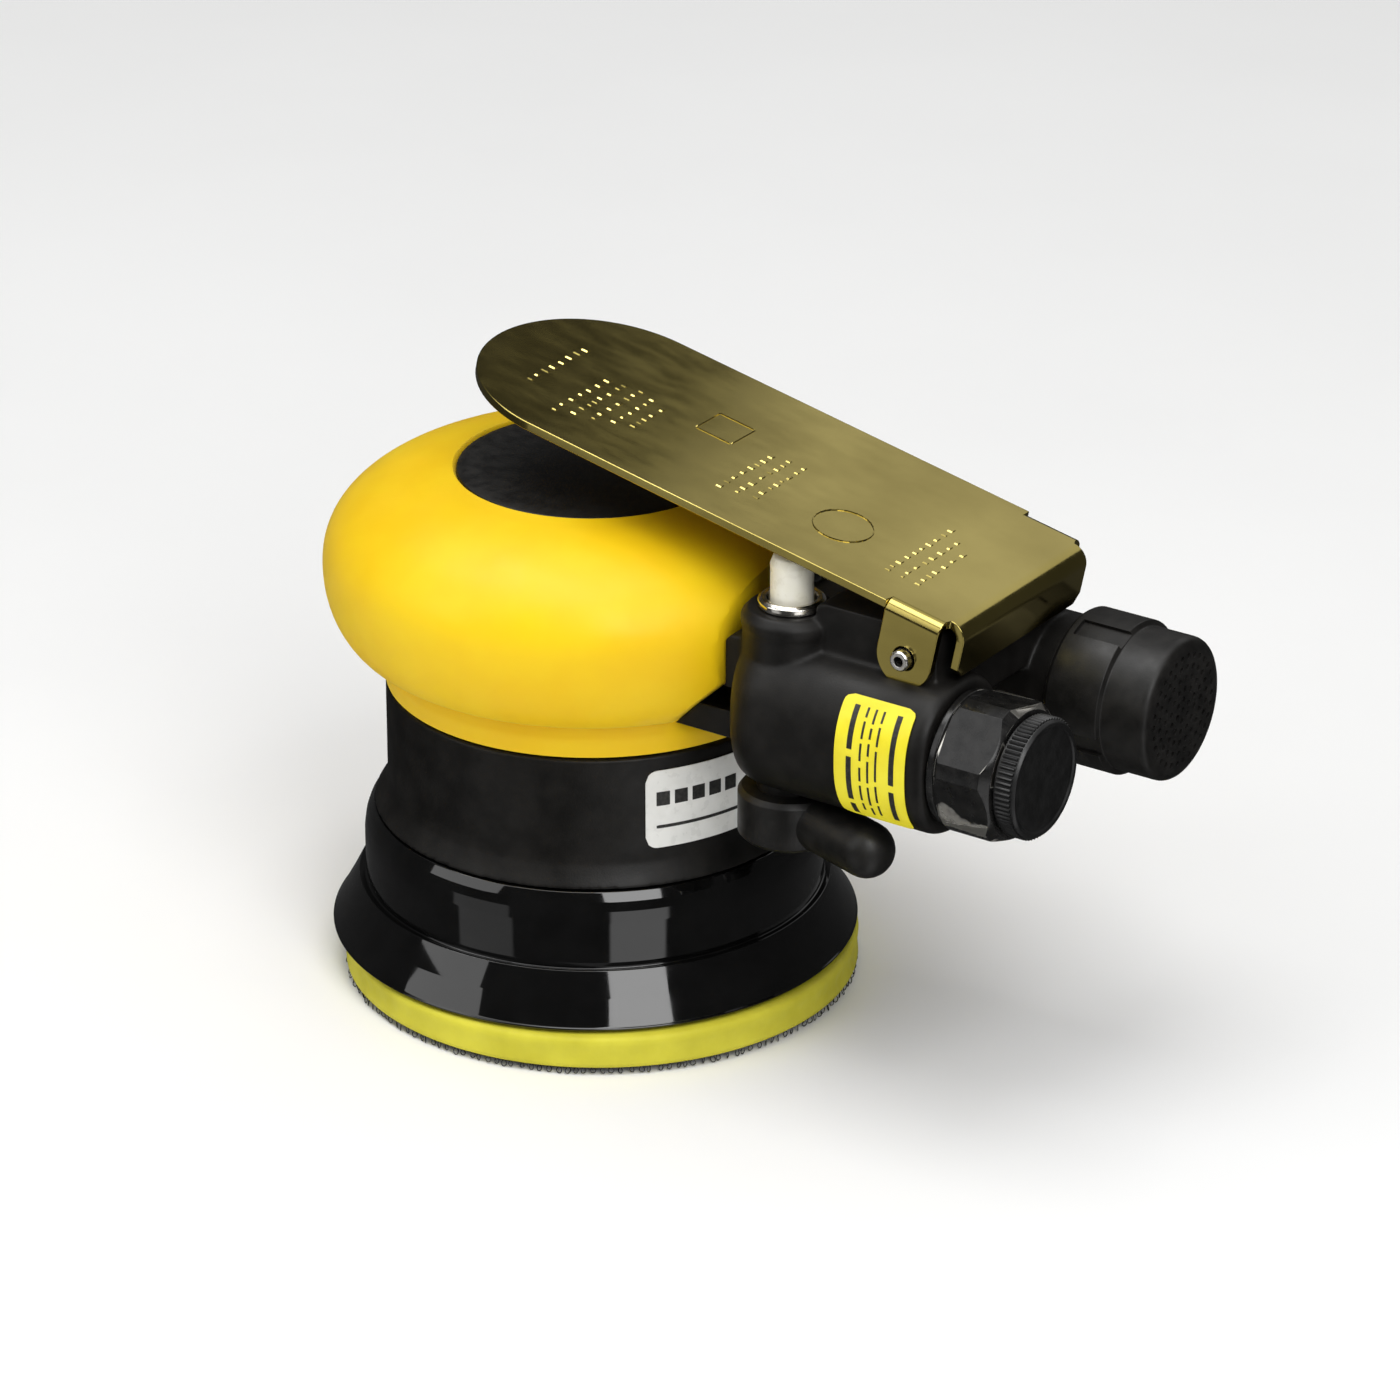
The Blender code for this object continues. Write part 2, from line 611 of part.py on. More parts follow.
def make_motor_case():
    """The fixed motor parts, stacked in the housing's bore from the top down."""
    case = BORE_RADIUS - 0.4
    dowel_hole = [rod("dowel_hole", 1.3, 20, 80, at=(DOWEL_X, 0, 0), steps=12)
                  for _ in range(3)]
    upper = turned("upper_end_plate", [(5.7, 61.4), (case, 61.4), (case, 67.6), (9.9, 67.6),
                                       (9.9, 63.6), (5.7, 63.6)], aluminium, steps=32)
    cylinder = ring("cylinder", case, case - 3, 36.1, 61.1, steel, steps=32)
    cut(cylinder, rod("cylinder_bore", CYLINDER_BORE, 30, 70, at=(CYLINDER_OFFSET, 0, 0),
                      steps=32))
    lower = turned("lower_end_plate", [(12.9, 30.2), (case, 30.2), (case, 35.8), (7.2, 35.8),
                                       (7.2, 33.9), (12.9, 33.9)], aluminium, steps=32)
    for piece, hole in zip((upper, cylinder, lower), dowel_hole):
        cut(piece, hole)
    rod("cylinder_pin", 1.0, 31.5, 66.5, steel, at=(DOWEL_X, 0, 0), steps=12)
    ring("upper_bearing_outer", 9.6, 7.9, 63.9, 67.4, bearing_steel)
    ring("lower_bearing_outer", 12.6, 10.6, 30.4, 33.6, bearing_steel)
    turned("lock_ring", [(15.6, 25.6), (case, 25.6), (case, 29.9), (13.6, 29.9),
                         (13.6, 28.2), (15.6, 28.2)], aluminium, steps=32)


def make_rotor_parts():
    """Everything that turns with the motor shaft."""
    rotor = ring("rotor", ROTOR_RADIUS, SHAFT_RADIUS + GAP, ROTOR_BOTTOM, ROTOR_TOP, rotor_steel,
                 steps=32)
    for i in range(VANE_COUNT):
        angle = tau * i / VANE_COUNT + radians(36)
        slot = box("vane_slot", (9.4, -1.15, 30), (20, 1.15, 66), at=(0, 0, 0))
        slot.location = (0, 0, 0)
        slot.rotation_euler = (0, 0, angle)
        cut(rotor, slot)
        vane = box(f"vane_{i + 1}", (9.8, -0.85, ROTOR_BOTTOM + 0.1),
                   (17.8, 0.85, ROTOR_TOP - 0.1), vane_fibre, at=(0, 0, 0))
        vane.location = (0, 0, 0)
        vane.rotation_euler = (0, 0, angle)
    cut(rotor, box("rotor_keyway", (4.0, -1.3, 30), (7.2, 1.3, 66)))
    box("rotor_key", (4.9, -1.0, 40), (6.9, 1.0, 57), bearing_steel)
    make_crank()
    ring("upper_bearing_inner", 6.9, 4.3, 63.9, 67.4, bearing_steel)
    ring("lower_bearing_inner", 9.4, SHAFT_RADIUS + GAP + 0.6, 30.4, 33.6, bearing_steel)
    ring("spindle_bearing_outer", 9.2, 7.4, 14.2, 23.8, bearing_steel, PAD_AXIS)
    clip = ring("bearing_clip", 9.2, 7.7, 12.8, 13.9, steel, PAD_AXIS)
    cut(clip, box("clip_gap", (PAD_AXIS[0] + 5, PAD_AXIS[1] - 1.5, 12),
                  (PAD_AXIS[0] + 12, PAD_AXIS[1] + 1.5, 15)))


def make_crank():
    """The motor shaft with its eccentric bearing pocket and counterweight."""
    crank = turned("crank_shaft", [(0, 67.2), (3.6, 67.2), (4.0, 66.8), (4.0, 63.0),
                                   (SHAFT_RADIUS, 63.0), (SHAFT_RADIUS, 36.0), (5.8, 36.0),
                                   (5.8, 30.2), (9.0, 30.2), (12.6, 27.4), (12.6, 12.2),
                                   (0, 12.2)], bearing_steel, steps=28)
    weight_angle = ORBIT_ANGLE + pi
    weight = plate("counterweight", [(0, 0)] + arc((0, 0), 22.6, -62, 62, 8), 8.6,
                   at=(0, 0, 20.0), rotation=(0, 0, weight_angle))
    join(crank, weight)
    cut(crank, rod("bearing_pocket", 9.5, 10, 25.6, at=PAD_AXIS, steps=28),
        box("shaft_keyway", (4.5, -1.3, 39.5), (7.5, 1.3, 57.5)))


# ---------------------------------------------------------------- spindle and pad

def make_spindle():
    spindle = turned("spindle", [(0, 24.4), (4.2, 24.4), (4.2, 13.6), (6.6, 13.6), (6.6, 10.2),
                                 (3.8, 10.2), (3.8, 20.0), (0, 21.5)], bearing_steel,
                     at=PAD_AXIS, steps=28)
    cut(spindle, box("wrench_flat", (PAD_AXIS[0] + 5.8, -20, 9), (PAD_AXIS[0] + 12, 20, 13)),
        box("wrench_flat", (PAD_AXIS[0] - 12, -20, 9), (PAD_AXIS[0] - 5.8, 20, 13)))
    ring("spindle_bearing_inner", 6.6, 4.5, 14.2, 23.8, bearing_steel, PAD_AXIS, steps=28)
    turned("dust_shield", [(8.4, 10.4), (14.6, 10.4), (14.6, 11.2), (8.4, 11.2)], felt,
           at=PAD_AXIS, steps=28)


def make_pad():
    turned("pad_stud", [(0, 17.6), (2.8, 17.6), (3.4, 17.0), (3.4, BACKING_TOP + 0.4),
                        (5.2, BACKING_TOP + 0.4), (5.2, FOAM_TOP + GAP), (0, FOAM_TOP + GAP)],
           steel, at=PAD_AXIS, steps=24)
    turned("pad_backing", [(5.5, BACKING_TOP), (BACKING_RADIUS - 2.2, BACKING_TOP),
                           (BACKING_RADIUS, BACKING_TOP - 1.8),
                           (BACKING_RADIUS, FOAM_TOP + GAP), (5.5, FOAM_TOP + GAP)],
           backing_fibre, at=PAD_AXIS, steps=32)
    rim = PAD_RADIUS
    turned("pad_foam", [(0, FOAM_TOP), (rim - 0.8, FOAM_TOP), (rim, FOAM_TOP - 0.8),
                        (rim + 0.1, 3.6), (rim - 0.2, HOOK_TOP + GAP), (0, HOOK_TOP + GAP)],
           foam, at=PAD_AXIS, steps=40)
    turned("hook_face", [(0, HOOK_TOP), (rim - 0.3, HOOK_TOP), (rim - 0.3, 0.2),
                         (rim - 0.5, 0), (0, 0)], hook_black, at=PAD_AXIS, steps=40)


clear_scene()
parts = make_collection("orbital_sander")
cutters = make_collection("cutters")

composite = make_material("housing_composite", (0.012, 0.012, 0.012), 0.55)
composite_fine = make_material("moulded_black", (0.010, 0.010, 0.010), 0.5)
rubber = make_material("grip_rubber", (0.93, 0.60, 0.01), 0.45)
gloss = make_material("shroud_gloss", (0.004, 0.004, 0.004), 0.08)
lever_metal = make_material("lever_chromate", (0.22, 0.19, 0.07), 0.28, 1.0)
steel = make_material("steel", (0.62, 0.61, 0.59), 0.3, 1.0)
bearing_steel = make_material("bearing_steel", (0.55, 0.55, 0.55), 0.2, 1.0)
rotor_steel = make_material("rotor_steel", (0.42, 0.42, 0.43), 0.35, 1.0)
black_steel = make_material("blackened_steel", (0.02, 0.02, 0.02), 0.32, 0.6)
nickel = make_material("nickel_plate", (0.72, 0.70, 0.66), 0.22, 1.0)
aluminium = make_material("aluminium", (0.7, 0.7, 0.71), 0.4, 1.0)
acetal = make_material("acetal_white", (0.80, 0.79, 0.68), 0.35)
seal_rubber = make_material("seal_rubber", (0.015, 0.015, 0.015), 0.6)
plug_black = make_material("plug_black", (0.008, 0.008, 0.008), 0.45)
felt = make_material("felt", (0.35, 0.34, 0.32), 0.95)
vane_fibre = make_material("vane_fibre", (0.20, 0.12, 0.06), 0.6)
backing_fibre = make_material("backing_fibre", (0.10, 0.10, 0.09), 0.6)
foam = make_material("pad_foam", (0.50, 0.55, 0.04), 0.8)
hook_black = make_material("hook_fabric", (0.02, 0.02, 0.02), 0.9)
label_white = make_material("label_white", (0.80, 0.80, 0.78), 0.35)
label_yellow = make_material("label_yellow", (0.90, 0.78, 0.04), 0.4)

make_housing()
make_grip()
make_top_disc()
make_shroud()
make_side_label()
make_lever()
make_lever_pin()
make_stem_parts()
make_inlet_parts()
make_inlet_label()
make_speed_control()
make_muffler()
make_motor_case()
make_rotor_parts()
make_spindle()
make_pad()
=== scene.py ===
"""Looks of the air-driven orbital sander: detailed pieces, materials, floor, lights and camera.

Everything is in the frame's metres, +Z up, with the motor axis at the origin. Sizes below are
in millimetres and MM turns them into metres.
"""
import random
from math import atan2, cos, pi, radians, sin, tan, tau

import bmesh
import bpy
from mathutils import Matrix, Vector


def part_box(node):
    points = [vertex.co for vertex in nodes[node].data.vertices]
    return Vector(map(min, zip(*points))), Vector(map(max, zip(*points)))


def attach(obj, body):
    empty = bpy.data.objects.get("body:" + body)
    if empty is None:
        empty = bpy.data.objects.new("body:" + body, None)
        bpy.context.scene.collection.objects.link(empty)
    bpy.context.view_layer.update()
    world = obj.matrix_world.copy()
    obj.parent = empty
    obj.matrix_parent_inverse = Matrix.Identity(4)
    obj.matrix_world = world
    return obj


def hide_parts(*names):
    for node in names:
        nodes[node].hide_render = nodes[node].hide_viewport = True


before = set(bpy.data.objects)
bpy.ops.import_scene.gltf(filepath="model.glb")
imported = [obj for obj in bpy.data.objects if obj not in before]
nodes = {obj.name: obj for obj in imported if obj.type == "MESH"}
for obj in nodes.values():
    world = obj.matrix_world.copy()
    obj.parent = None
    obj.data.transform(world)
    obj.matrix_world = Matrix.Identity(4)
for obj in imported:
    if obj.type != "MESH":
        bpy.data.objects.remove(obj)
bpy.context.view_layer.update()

MM = 0.001
CORNER_SHARE = 0.48

# Sizes shared by several pieces, in millimetres
BODY_RADIUS = 30.8
GRIP_RADIUS = 39.65
GRIP_MIDDLE = 64.2
DOME_TOP = 79.2
DISC_RADIUS = 20.1
COLLAR_TOP = 51.0
SHROUD_TOP = 25.8
SHROUD_RADIUS = 34.4
RIM_RADIUS = 39.5
RIM_Z = 6.4
INLET_Y = -15.0
MUFFLER_Y = 15.5
ARM_Z = 57.5
STEM_X = 44.9
BARREL_FRONT = 38.4
BARREL_END = 73.4
BARREL_HALF_WIDTH = 10.8
BARREL_HALF_HEIGHT = 11.3
BARREL_SQUARENESS = 2.35
BOSS_RADIUS = 7.0
BOSS_TOP = 73.5
PIN = (66.0, 0.0, 72.0)
LEVER_PITCH = radians(11.5)
LEVER_TOP = 7.4
LEVER_HALF_WIDTH = 18.9
LEVER_REACH = 85.2
LEVER_THICKNESS = 1.3
LEVER_FLANGE = 8.4
EAR_RADIUS = 4.5
LUG_HALF_WIDTH = 17.2
HEX_FLATS = 19.0
HEX_TURN = radians(13)
CONTROL_ANGLE = radians(-18)
MUFFLER_RADIUS = 10.6
MUFFLER_START = 74.6
MUFFLER_END = 91.2
FOAM_BOTTOM = 1.15
LOOP_TOP = 1.1

# How finely the housing is remeshed, and how often it is smoothed
HOUSING_VOXEL = 0.38
HOUSING_SMOOTHING = 4


def middle(node):
    """Middle of a CAD node's box, in millimetres."""
    low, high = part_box(node)
    return (low + high) / 2 / MM


PAD_MIDDLE = middle("pad_foam")
PAD_X, PAD_Y = PAD_MIDDLE.x, PAD_MIDDLE.y
PAD_RADIUS = (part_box("pad_foam")[1].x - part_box("pad_foam")[0].x) / 2 / MM


# ------------------------------------------------------------------ mesh tools

def metres(point):
    return Vector(point) * MM


def link(name, mesh, material=None, sharp=30):
    """Put a mesh in the scene as an object at the origin, shaded smooth but for sharp edges."""
    obj = bpy.data.objects.new(name, mesh)
    bpy.context.scene.collection.objects.link(obj)
    if material:
        mesh.materials.append(material)
    mesh.shade_smooth()
    mesh.set_sharp_from_angle(angle=radians(sharp))
    return obj


def from_bmesh(name, shape, material=None, sharp=30):
    bmesh.ops.recalc_face_normals(shape, faces=shape.faces)
    mesh = bpy.data.meshes.new(name)
    shape.to_mesh(mesh)
    shape.free()
    return link(name, mesh, material, sharp)


def filleted(profile, steps=6):
    """Round the corners of a closed outline. A corner is (x, y) or (x, y, fillet).

    A fillet takes at most CORNER_SHARE of either side.
    """
    points = []
    count = len(profile)
    for i, corner in enumerate(profile):
        here = Vector(corner[:2])
        fillet = corner[2] if len(corner) > 2 else 0
        if not fillet:
            points.append(here)
            continue
        before = Vector(profile[i - 1][:2]) - here
        after = Vector(profile[(i + 1) % count][:2]) - here
        reach = fillet / tan(before.angle(after) / 2)
        reach = min(reach, CORNER_SHARE * before.length, CORNER_SHARE * after.length)
        start = here + before.normalized() * reach
        end = here + after.normalized() * reach
        for k in range(steps + 1):
            w = k / steps
            points.append(start * (1 - w) ** 2 + here * (2 * w * (1 - w)) + end * w * w)
    return points


AXES = {"Z": Matrix.Identity(4),
        "X": Matrix.Rotation(pi / 2, 4, "Y"),
        "Y": Matrix.Rotation(-pi / 2, 4, "X")}


def lathe(name, profile, material=None, at=(0, 0, 0), axis="Z", steps=128, sharp=30, twist=0.0):
    """Turn a profile of (radius, height[, fillet]) points about an axis through `at`."""
    points = filleted(profile)
    solid = min(p[0] for p in points) < 1e-6
    if solid:
        while points[0][0] > 1e-6 or points[-1][0] > 1e-6:
            points.append(points.pop(0))
    shape = bmesh.new()
    rings = []
    for radius, height in points:
        if radius < 1e-6:
            rings.append([shape.verts.new(metres((0, 0, height)))])
            continue
        angles = [twist + tau * i / steps for i in range(steps)]
        rings.append([shape.verts.new(metres((radius * cos(a), radius * sin(a), height)))
                      for a in angles])
    pairs = list(zip(rings, rings[1:]))
    if not solid:
        pairs.append((rings[-1], rings[0]))
    for first, second in pairs:
        for i in range(steps):
            j = (i + 1) % steps
            corners = [first[i % len(first)], first[j % len(first)],
                       second[j % len(second)], second[i % len(second)]]
            corners = list(dict.fromkeys(corners))
            if len(corners) > 2:
                shape.faces.new(corners)
    bmesh.ops.transform(shape, matrix=Matrix.Translation(metres(at)) @ AXES[axis],
                        verts=shape.verts)
    return from_bmesh(name, shape, material, sharp)


def extruded(name, outline, low, high, place=Matrix.Identity(4), material=None, sharp=30):
    """Extrude an outline of (x, y[, fillet]) corners from low to high, then place it."""
    shape = bmesh.new()
    base = shape.faces.new([shape.verts.new(metres((p[0], p[1], low)))
                            for p in filleted(outline)])
    top = bmesh.ops.extrude_face_region(shape, geom=[base], use_keep_orig=True)
    moved = [v for v in top["geom"] if isinstance(v, bmesh.types.BMVert)]
    bmesh.ops.translate(shape, verts=moved, vec=(0, 0, (high - low) * MM))
    bmesh.ops.transform(shape, matrix=place, verts=shape.verts)
    return from_bmesh(name, shape, material, sharp)


def block(name, low, high, place=Matrix.Identity(4), material=None):
    outline = [(low[0], low[1]), (high[0], low[1]), (high[0], high[1]), (low[0], high[1])]
    return extruded(name, outline, low[2], high[2], place, material)


def settle(obj):
    """Replace an object's mesh by its evaluated one and drop the modifiers."""
    graph = bpy.context.evaluated_depsgraph_get()
    mesh = bpy.data.meshes.new_from_object(obj.evaluated_get(graph), depsgraph=graph)
    obj.modifiers.clear()
    obj.data = mesh
    return obj


def boolean(target, tools, operation="DIFFERENCE"):
    for tool in tools:
        step = target.modifiers.new(operation, "BOOLEAN")
        step.operation = operation
        step.object = tool
        step.solver = "EXACT"
    settle(target)
    for tool in tools:
        bpy.data.objects.remove(tool, do_unlink=True)
    return target


def reshade(obj, sharp=30):
    obj.data.shade_smooth()
    obj.data.set_sharp_from_angle(angle=radians(sharp))
    return obj


def bevelled(obj, width, segments=3, angle=35, sharp=40):
    bevel = obj.modifiers.new("Edges", "BEVEL")
    bevel.width = width * MM
    bevel.segments = segments
    bevel.limit_method = "ANGLE"
    bevel.angle_limit = radians(angle)
    reshade(settle(obj), sharp)
    flat = obj.modifiers.new("Flat faces", "WEIGHTED_NORMAL")
    flat.weight = 100
    flat.keep_sharp = True
    return settle(obj)


def merged(name, pieces):
    """Join several meshes of one kind into one piece."""
    shape = bmesh.new()
    for piece in pieces:
        shape.from_mesh(piece.data)
    mesh = bpy.data.meshes.new(name)
    shape.to_mesh(mesh)
    shape.free()
    material = pieces[0].data.materials[0] if pieces[0].data.materials else None
    for piece in pieces:
        bpy.data.objects.remove(piece, do_unlink=True)
    return link(name, mesh, material)


def fit(piece, body, cad_node):
    """Say what a piece rides on and which node it replaces."""
    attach(piece, body)
    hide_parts(cad_node)
    return piece


# ------------------------------------------------------------------ materials

def surface(name, colour, roughness, metallic=0.0, **sockets):
    """A Principled material, with any further sockets given by name."""
    material = bpy.data.materials.new(name)
    material.use_nodes = True
    shader = material.node_tree.nodes["Principled BSDF"]
    shader.inputs["Base Color"].default_value = (*colour, 1.0)
    shader.inputs["Roughness"].default_value = roughness
    shader.inputs["Metallic"].default_value = metallic
    for socket, value in sockets.items():
        shader.inputs[socket.replace("_", " ")].default_value = value
    return material


def shader_of(material):
    return material.node_tree.nodes["Principled BSDF"]


def noise(material, scale, detail=4.0, stretch=(1, 1, 1), kind="Noise"):
    """A texture over the object's own coordinates; scale counts features per millimetre."""
    tree = material.node_tree
    coordinates = tree.nodes.new("ShaderNodeTexCoord")
    mapping = tree.nodes.new("ShaderNodeMapping")
    mapping.inputs["Scale"].default_value = [s / MM for s in stretch]
    tree.links.new(coordinates.outputs["Object"], mapping.inputs["Vector"])
    if kind == "Voronoi":
        texture = tree.nodes.new("ShaderNodeTexVoronoi")
        texture.inputs["Scale"].default_value = scale
        output = texture.outputs["Distance"]
    else:
        texture = tree.nodes.new("ShaderNodeTexNoise")
        texture.inputs["Scale"].default_value = scale
        texture.inputs["Detail"].default_value = detail
        output = texture.outputs["Fac"]
    tree.links.new(mapping.outputs["Vector"], texture.inputs["Vector"])
    return output


def ramp(material, source, low, high, start=0.35, end=0.65):
    """Map a texture to values or colours between low and high."""
    tree = material.node_tree
    node = tree.nodes.new("ShaderNodeValToRGB")
    as_colour = [(v, v, v) if isinstance(v, (int, float)) else v for v in (low, high)]
    for element, position, value in zip(node.color_ramp.elements, (start, end), as_colour):
        element.position = position
        element.color = (*value, 1.0)
    tree.links.new(source, node.inputs["Fac"])
    return node.outputs["Color"]


def mottle(material, low, high, scale, detail=4.0, stretch=(1, 1, 1)):
    tone = ramp(material, noise(material, scale, detail, stretch), low, high)
    material.node_tree.links.new(tone, shader_of(material).inputs["Base Color"])
    return material


def uneven(material, low, high, scale, detail=4.0, stretch=(1, 1, 1)):
    """Let the roughness wander between low and high."""
    value = ramp(material, noise(material, scale, detail, stretch), low, high)
    material.node_tree.links.new(value, shader_of(material).inputs["Roughness"])
    return material


def grain(material, scale, depth, strength=1.0, detail=4.0, stretch=(1, 1, 1), kind="Noise"):
    """Add a bump of the given depth in millimetres, on top of any bump already there."""
    tree = material.node_tree
    bump = tree.nodes.new("ShaderNodeBump")
    bump.inputs["Distance"].default_value = depth * MM
    bump.inputs["Strength"].default_value = strength
    tree.links.new(noise(material, scale, detail, stretch, kind), bump.inputs["Height"])
    normal = shader_of(material).inputs["Normal"]
    if normal.links:
        tree.links.new(normal.links[0].from_socket, bump.inputs["Normal"])
    tree.links.new(bump.outputs["Normal"], normal)
    return material


def worn(material, colour, start, end, roughness):
    """Show bare metal on the convex edges, broken up by noise."""
    tree = material.node_tree
    shader = shader_of(material)
    geometry = tree.nodes.new("ShaderNodeNewGeometry")
    patches = noise(material, 0.6, 6.0)
    edge = tree.nodes.new("ShaderNodeMath")
    edge.operation = "MULTIPLY_ADD"
    edge.inputs[1].default_value = 0.10
    tree.links.new(patches, edge.inputs[0])
    tree.links.new(geometry.outputs["Pointiness"], edge.inputs[2])
    mask = ramp(material, edge.outputs["Value"], 0.0, 1.0, start, end)
    for name, bare in (("Base Color", (*colour, 1.0)), ("Metallic", 1.0),
                       ("Roughness", roughness)):
        socket = shader.inputs[name]
        mix = tree.nodes.new("ShaderNodeMix")
        mix.data_type = "RGBA" if name == "Base Color" else "FLOAT"
        inputs = [s for s in mix.inputs if s.enabled]
        tree.links.new(mask, inputs[0])
        if socket.links:
            tree.links.new(socket.links[0].from_socket, inputs[1])
        else:
            inputs[1].default_value = socket.default_value
        inputs[2].default_value = bare
        output = [s for s in mix.outputs if s.enabled][0]
        tree.links.new(output, socket)
    return material


composite = surface("composite_matte", (0.008, 0.007, 0.006), 0.48, Specular_IOR_Level=0.26)
mottle(composite, (0.0055, 0.005, 0.0044), (0.011, 0.010, 0.0088), 0.25)
uneven(composite, 0.42, 0.56, 0.12)
grain(composite, 3.5, 0.05, 0.35)
grain(composite, 0.15, 0.25, 0.12)

fine_plastic = surface("moulded_black_fine", (0.008, 0.0075, 0.007), 0.45, Specular_IOR_Level=0.36)
mottle(fine_plastic, (0.006, 0.0056, 0.005), (0.013, 0.012, 0.0108), 0.4)
uneven(fine_plastic, 0.38, 0.52, 0.3)
grain(fine_plastic, 4.0, 0.04, 0.35)

yellow_rubber = surface("grip_rubber_satin", (0.95, 0.62, 0.010), 0.42, Specular_IOR_Level=0.25,
                        Sheen_Weight=0.04, Sheen_Roughness=0.4, Subsurface_Weight=0.06,
                        Subsurface_Radius=(0.004, 0.002, 0.0005), Subsurface_Scale=0.5)
mottle(yellow_rubber, (0.92, 0.58, 0.006), (0.96, 0.65, 0.010), 0.06, 3.0)
uneven(yellow_rubber, 0.36, 0.48, 0.15)
grain(yellow_rubber, 5.0, 0.02, 0.25)

gloss = surface("shroud_gloss_black", (0.003, 0.003, 0.003), 0.05, Coat_Weight=0.3,
                Coat_Roughness=0.03)
mottle(gloss, (0.002, 0.002, 0.002), (0.004, 0.004, 0.004), 0.2)
uneven(gloss, 0.035, 0.075, 0.25)
grain(gloss, 0.10, 0.03, 0.10, 2.0)

disc_black = surface("disc_black", (0.009, 0.008, 0.007), 0.5, Specular_IOR_Level=0.32)
mottle(disc_black, (0.007, 0.0065, 0.006), (0.012, 0.011, 0.0095), 0.5)
uneven(disc_black, 0.4, 0.6, 0.5)
grain(disc_black, 3.0, 0.05, 0.5)

olive_gold = surface("lever_olive_gold", (0.44, 0.36, 0.11), 0.14, 1.0)
mottle(olive_gold, (0.38, 0.305, 0.083), (0.53, 0.435, 0.133), 0.035, 5.0)
uneven(olive_gold, 0.12, 0.18, 0.4, 6.0, (0.3, 1, 1))
grain(olive_gold, 1.1, 0.02, 0.06, 5.0, (0.2, 1, 1))
grain(olive_gold, 0.05, 0.25, 0.06, 2.0)

bright_steel = surface("bright_steel", (0.72, 0.70, 0.67), 0.22, 1.0)
mottle(bright_steel, (0.62, 0.60, 0.57), (0.78, 0.76, 0.73), 0.6)
uneven(bright_steel, 0.16, 0.32, 1.2)
grain(bright_steel, 2.5, 0.02, 0.3)

nickel = surface("nickel_plate_bright", (0.78, 0.75, 0.69), 0.15, 1.0)
mottle(nickel, (0.66, 0.63, 0.57), (0.85, 0.82, 0.76), 0.8)
uneven(nickel, 0.10, 0.26, 1.0)
grain(nickel, 1.5, 0.02, 0.2)

black_steel = surface("blackened_steel_worn", (0.007, 0.007, 0.007), 0.18,
                      Specular_IOR_Level=0.32)
mottle(black_steel, (0.006, 0.006, 0.006), (0.014, 0.0135, 0.013), 0.5)
uneven(black_steel, 0.13, 0.28, 0.7)
grain(black_steel, 2.2, 0.03, 0.35)
worn(black_steel, (0.60, 0.58, 0.53), 0.61, 0.67, 0.28)

plug_plastic = surface("plug_black_soft", (0.006, 0.006, 0.006), 0.42)
mottle(plug_plastic, (0.004, 0.004, 0.004), (0.009, 0.009, 0.009), 0.5)
uneven(plug_plastic, 0.34, 0.5, 0.4)
grain(plug_plastic, 3.0, 0.03, 0.35)

acetal = surface("acetal_off_white", (0.84, 0.82, 0.70), 0.3, Subsurface_Weight=0.15,
                 Subsurface_Radius=(0.003, 0.003, 0.002), Subsurface_Scale=0.5)
mottle(acetal, (0.78, 0.75, 0.62), (0.87, 0.85, 0.75), 0.2)
uneven(acetal, 0.25, 0.4, 0.8)
grain(acetal, 1.2, 0.02, 0.25, 4.0, (1, 1, 0.15))

seal = surface("seal_rubber_black", (0.012, 0.012, 0.012), 0.55)
mottle(seal, (0.009, 0.009, 0.009), (0.018, 0.018, 0.018), 0.8)
grain(seal, 3.0, 0.03, 0.4)

felt = surface("felt_grey", (0.30, 0.29, 0.27), 0.95, Sheen_Weight=0.3)
mottle(felt, (0.22, 0.21, 0.20), (0.38, 0.37, 0.35), 1.8)
grain(felt, 2.5, 0.25, 0.8, 6.0)

steel_dark = surface("rotor_steel_turned", (0.40, 0.40, 0.41), 0.34, 1.0)
mottle(steel_dark, (0.33, 0.33, 0.34), (0.45, 0.45, 0.46), 0.5)
uneven(steel_dark, 0.26, 0.42, 0.9, 4.0, (0.2, 0.2, 3))
grain(steel_dark, 1.5, 0.03, 0.4, 4.0, (0.1, 0.1, 2))

bearing = surface("bearing_steel_ground", (0.56, 0.56, 0.57), 0.2, 1.0)
mottle(bearing, (0.50, 0.50, 0.51), (0.60, 0.60, 0.61), 0.5)
uneven(bearing, 0.14, 0.28, 1.2, 4.0, (0.2, 0.2, 3))

alloy = surface("aluminium_machined", (0.70, 0.70, 0.72), 0.38, 1.0)
mottle(alloy, (0.62, 0.62, 0.64), (0.76, 0.76, 0.78), 0.4)
uneven(alloy, 0.3, 0.46, 0.8)
grain(alloy, 1.5, 0.02, 0.35, 4.0, (0.2, 0.2, 3))

fibre = surface("vane_fibre_brown", (0.18, 0.10, 0.05), 0.6)
mottle(fibre, (0.12, 0.065, 0.03), (0.26, 0.16, 0.08), 0.9, 6.0, (1, 1, 0.1))
grain(fibre, 1.5, 0.05, 0.4, 6.0, (1, 1, 0.1))

laminate = surface("backing_laminate", (0.10, 0.10, 0.085), 0.55)
mottle(laminate, (0.07, 0.07, 0.06), (0.15, 0.145, 0.12), 0.8)
grain(laminate, 1.2, 0.08, 0.5)

foam = surface("pad_foam_lime", (0.68, 0.62, 0.045), 0.62, Specular_IOR_Level=0.3,
               Subsurface_Weight=0.12, Subsurface_Radius=(0.004, 0.004, 0.001),
               Subsurface_Scale=0.6)
mottle(foam, (0.60, 0.545, 0.036), (0.74, 0.68, 0.056), 0.10, 4.0)
uneven(foam, 0.5, 0.7, 0.5)
grain(foam, 1.6, 0.08, 0.35, 6.0)

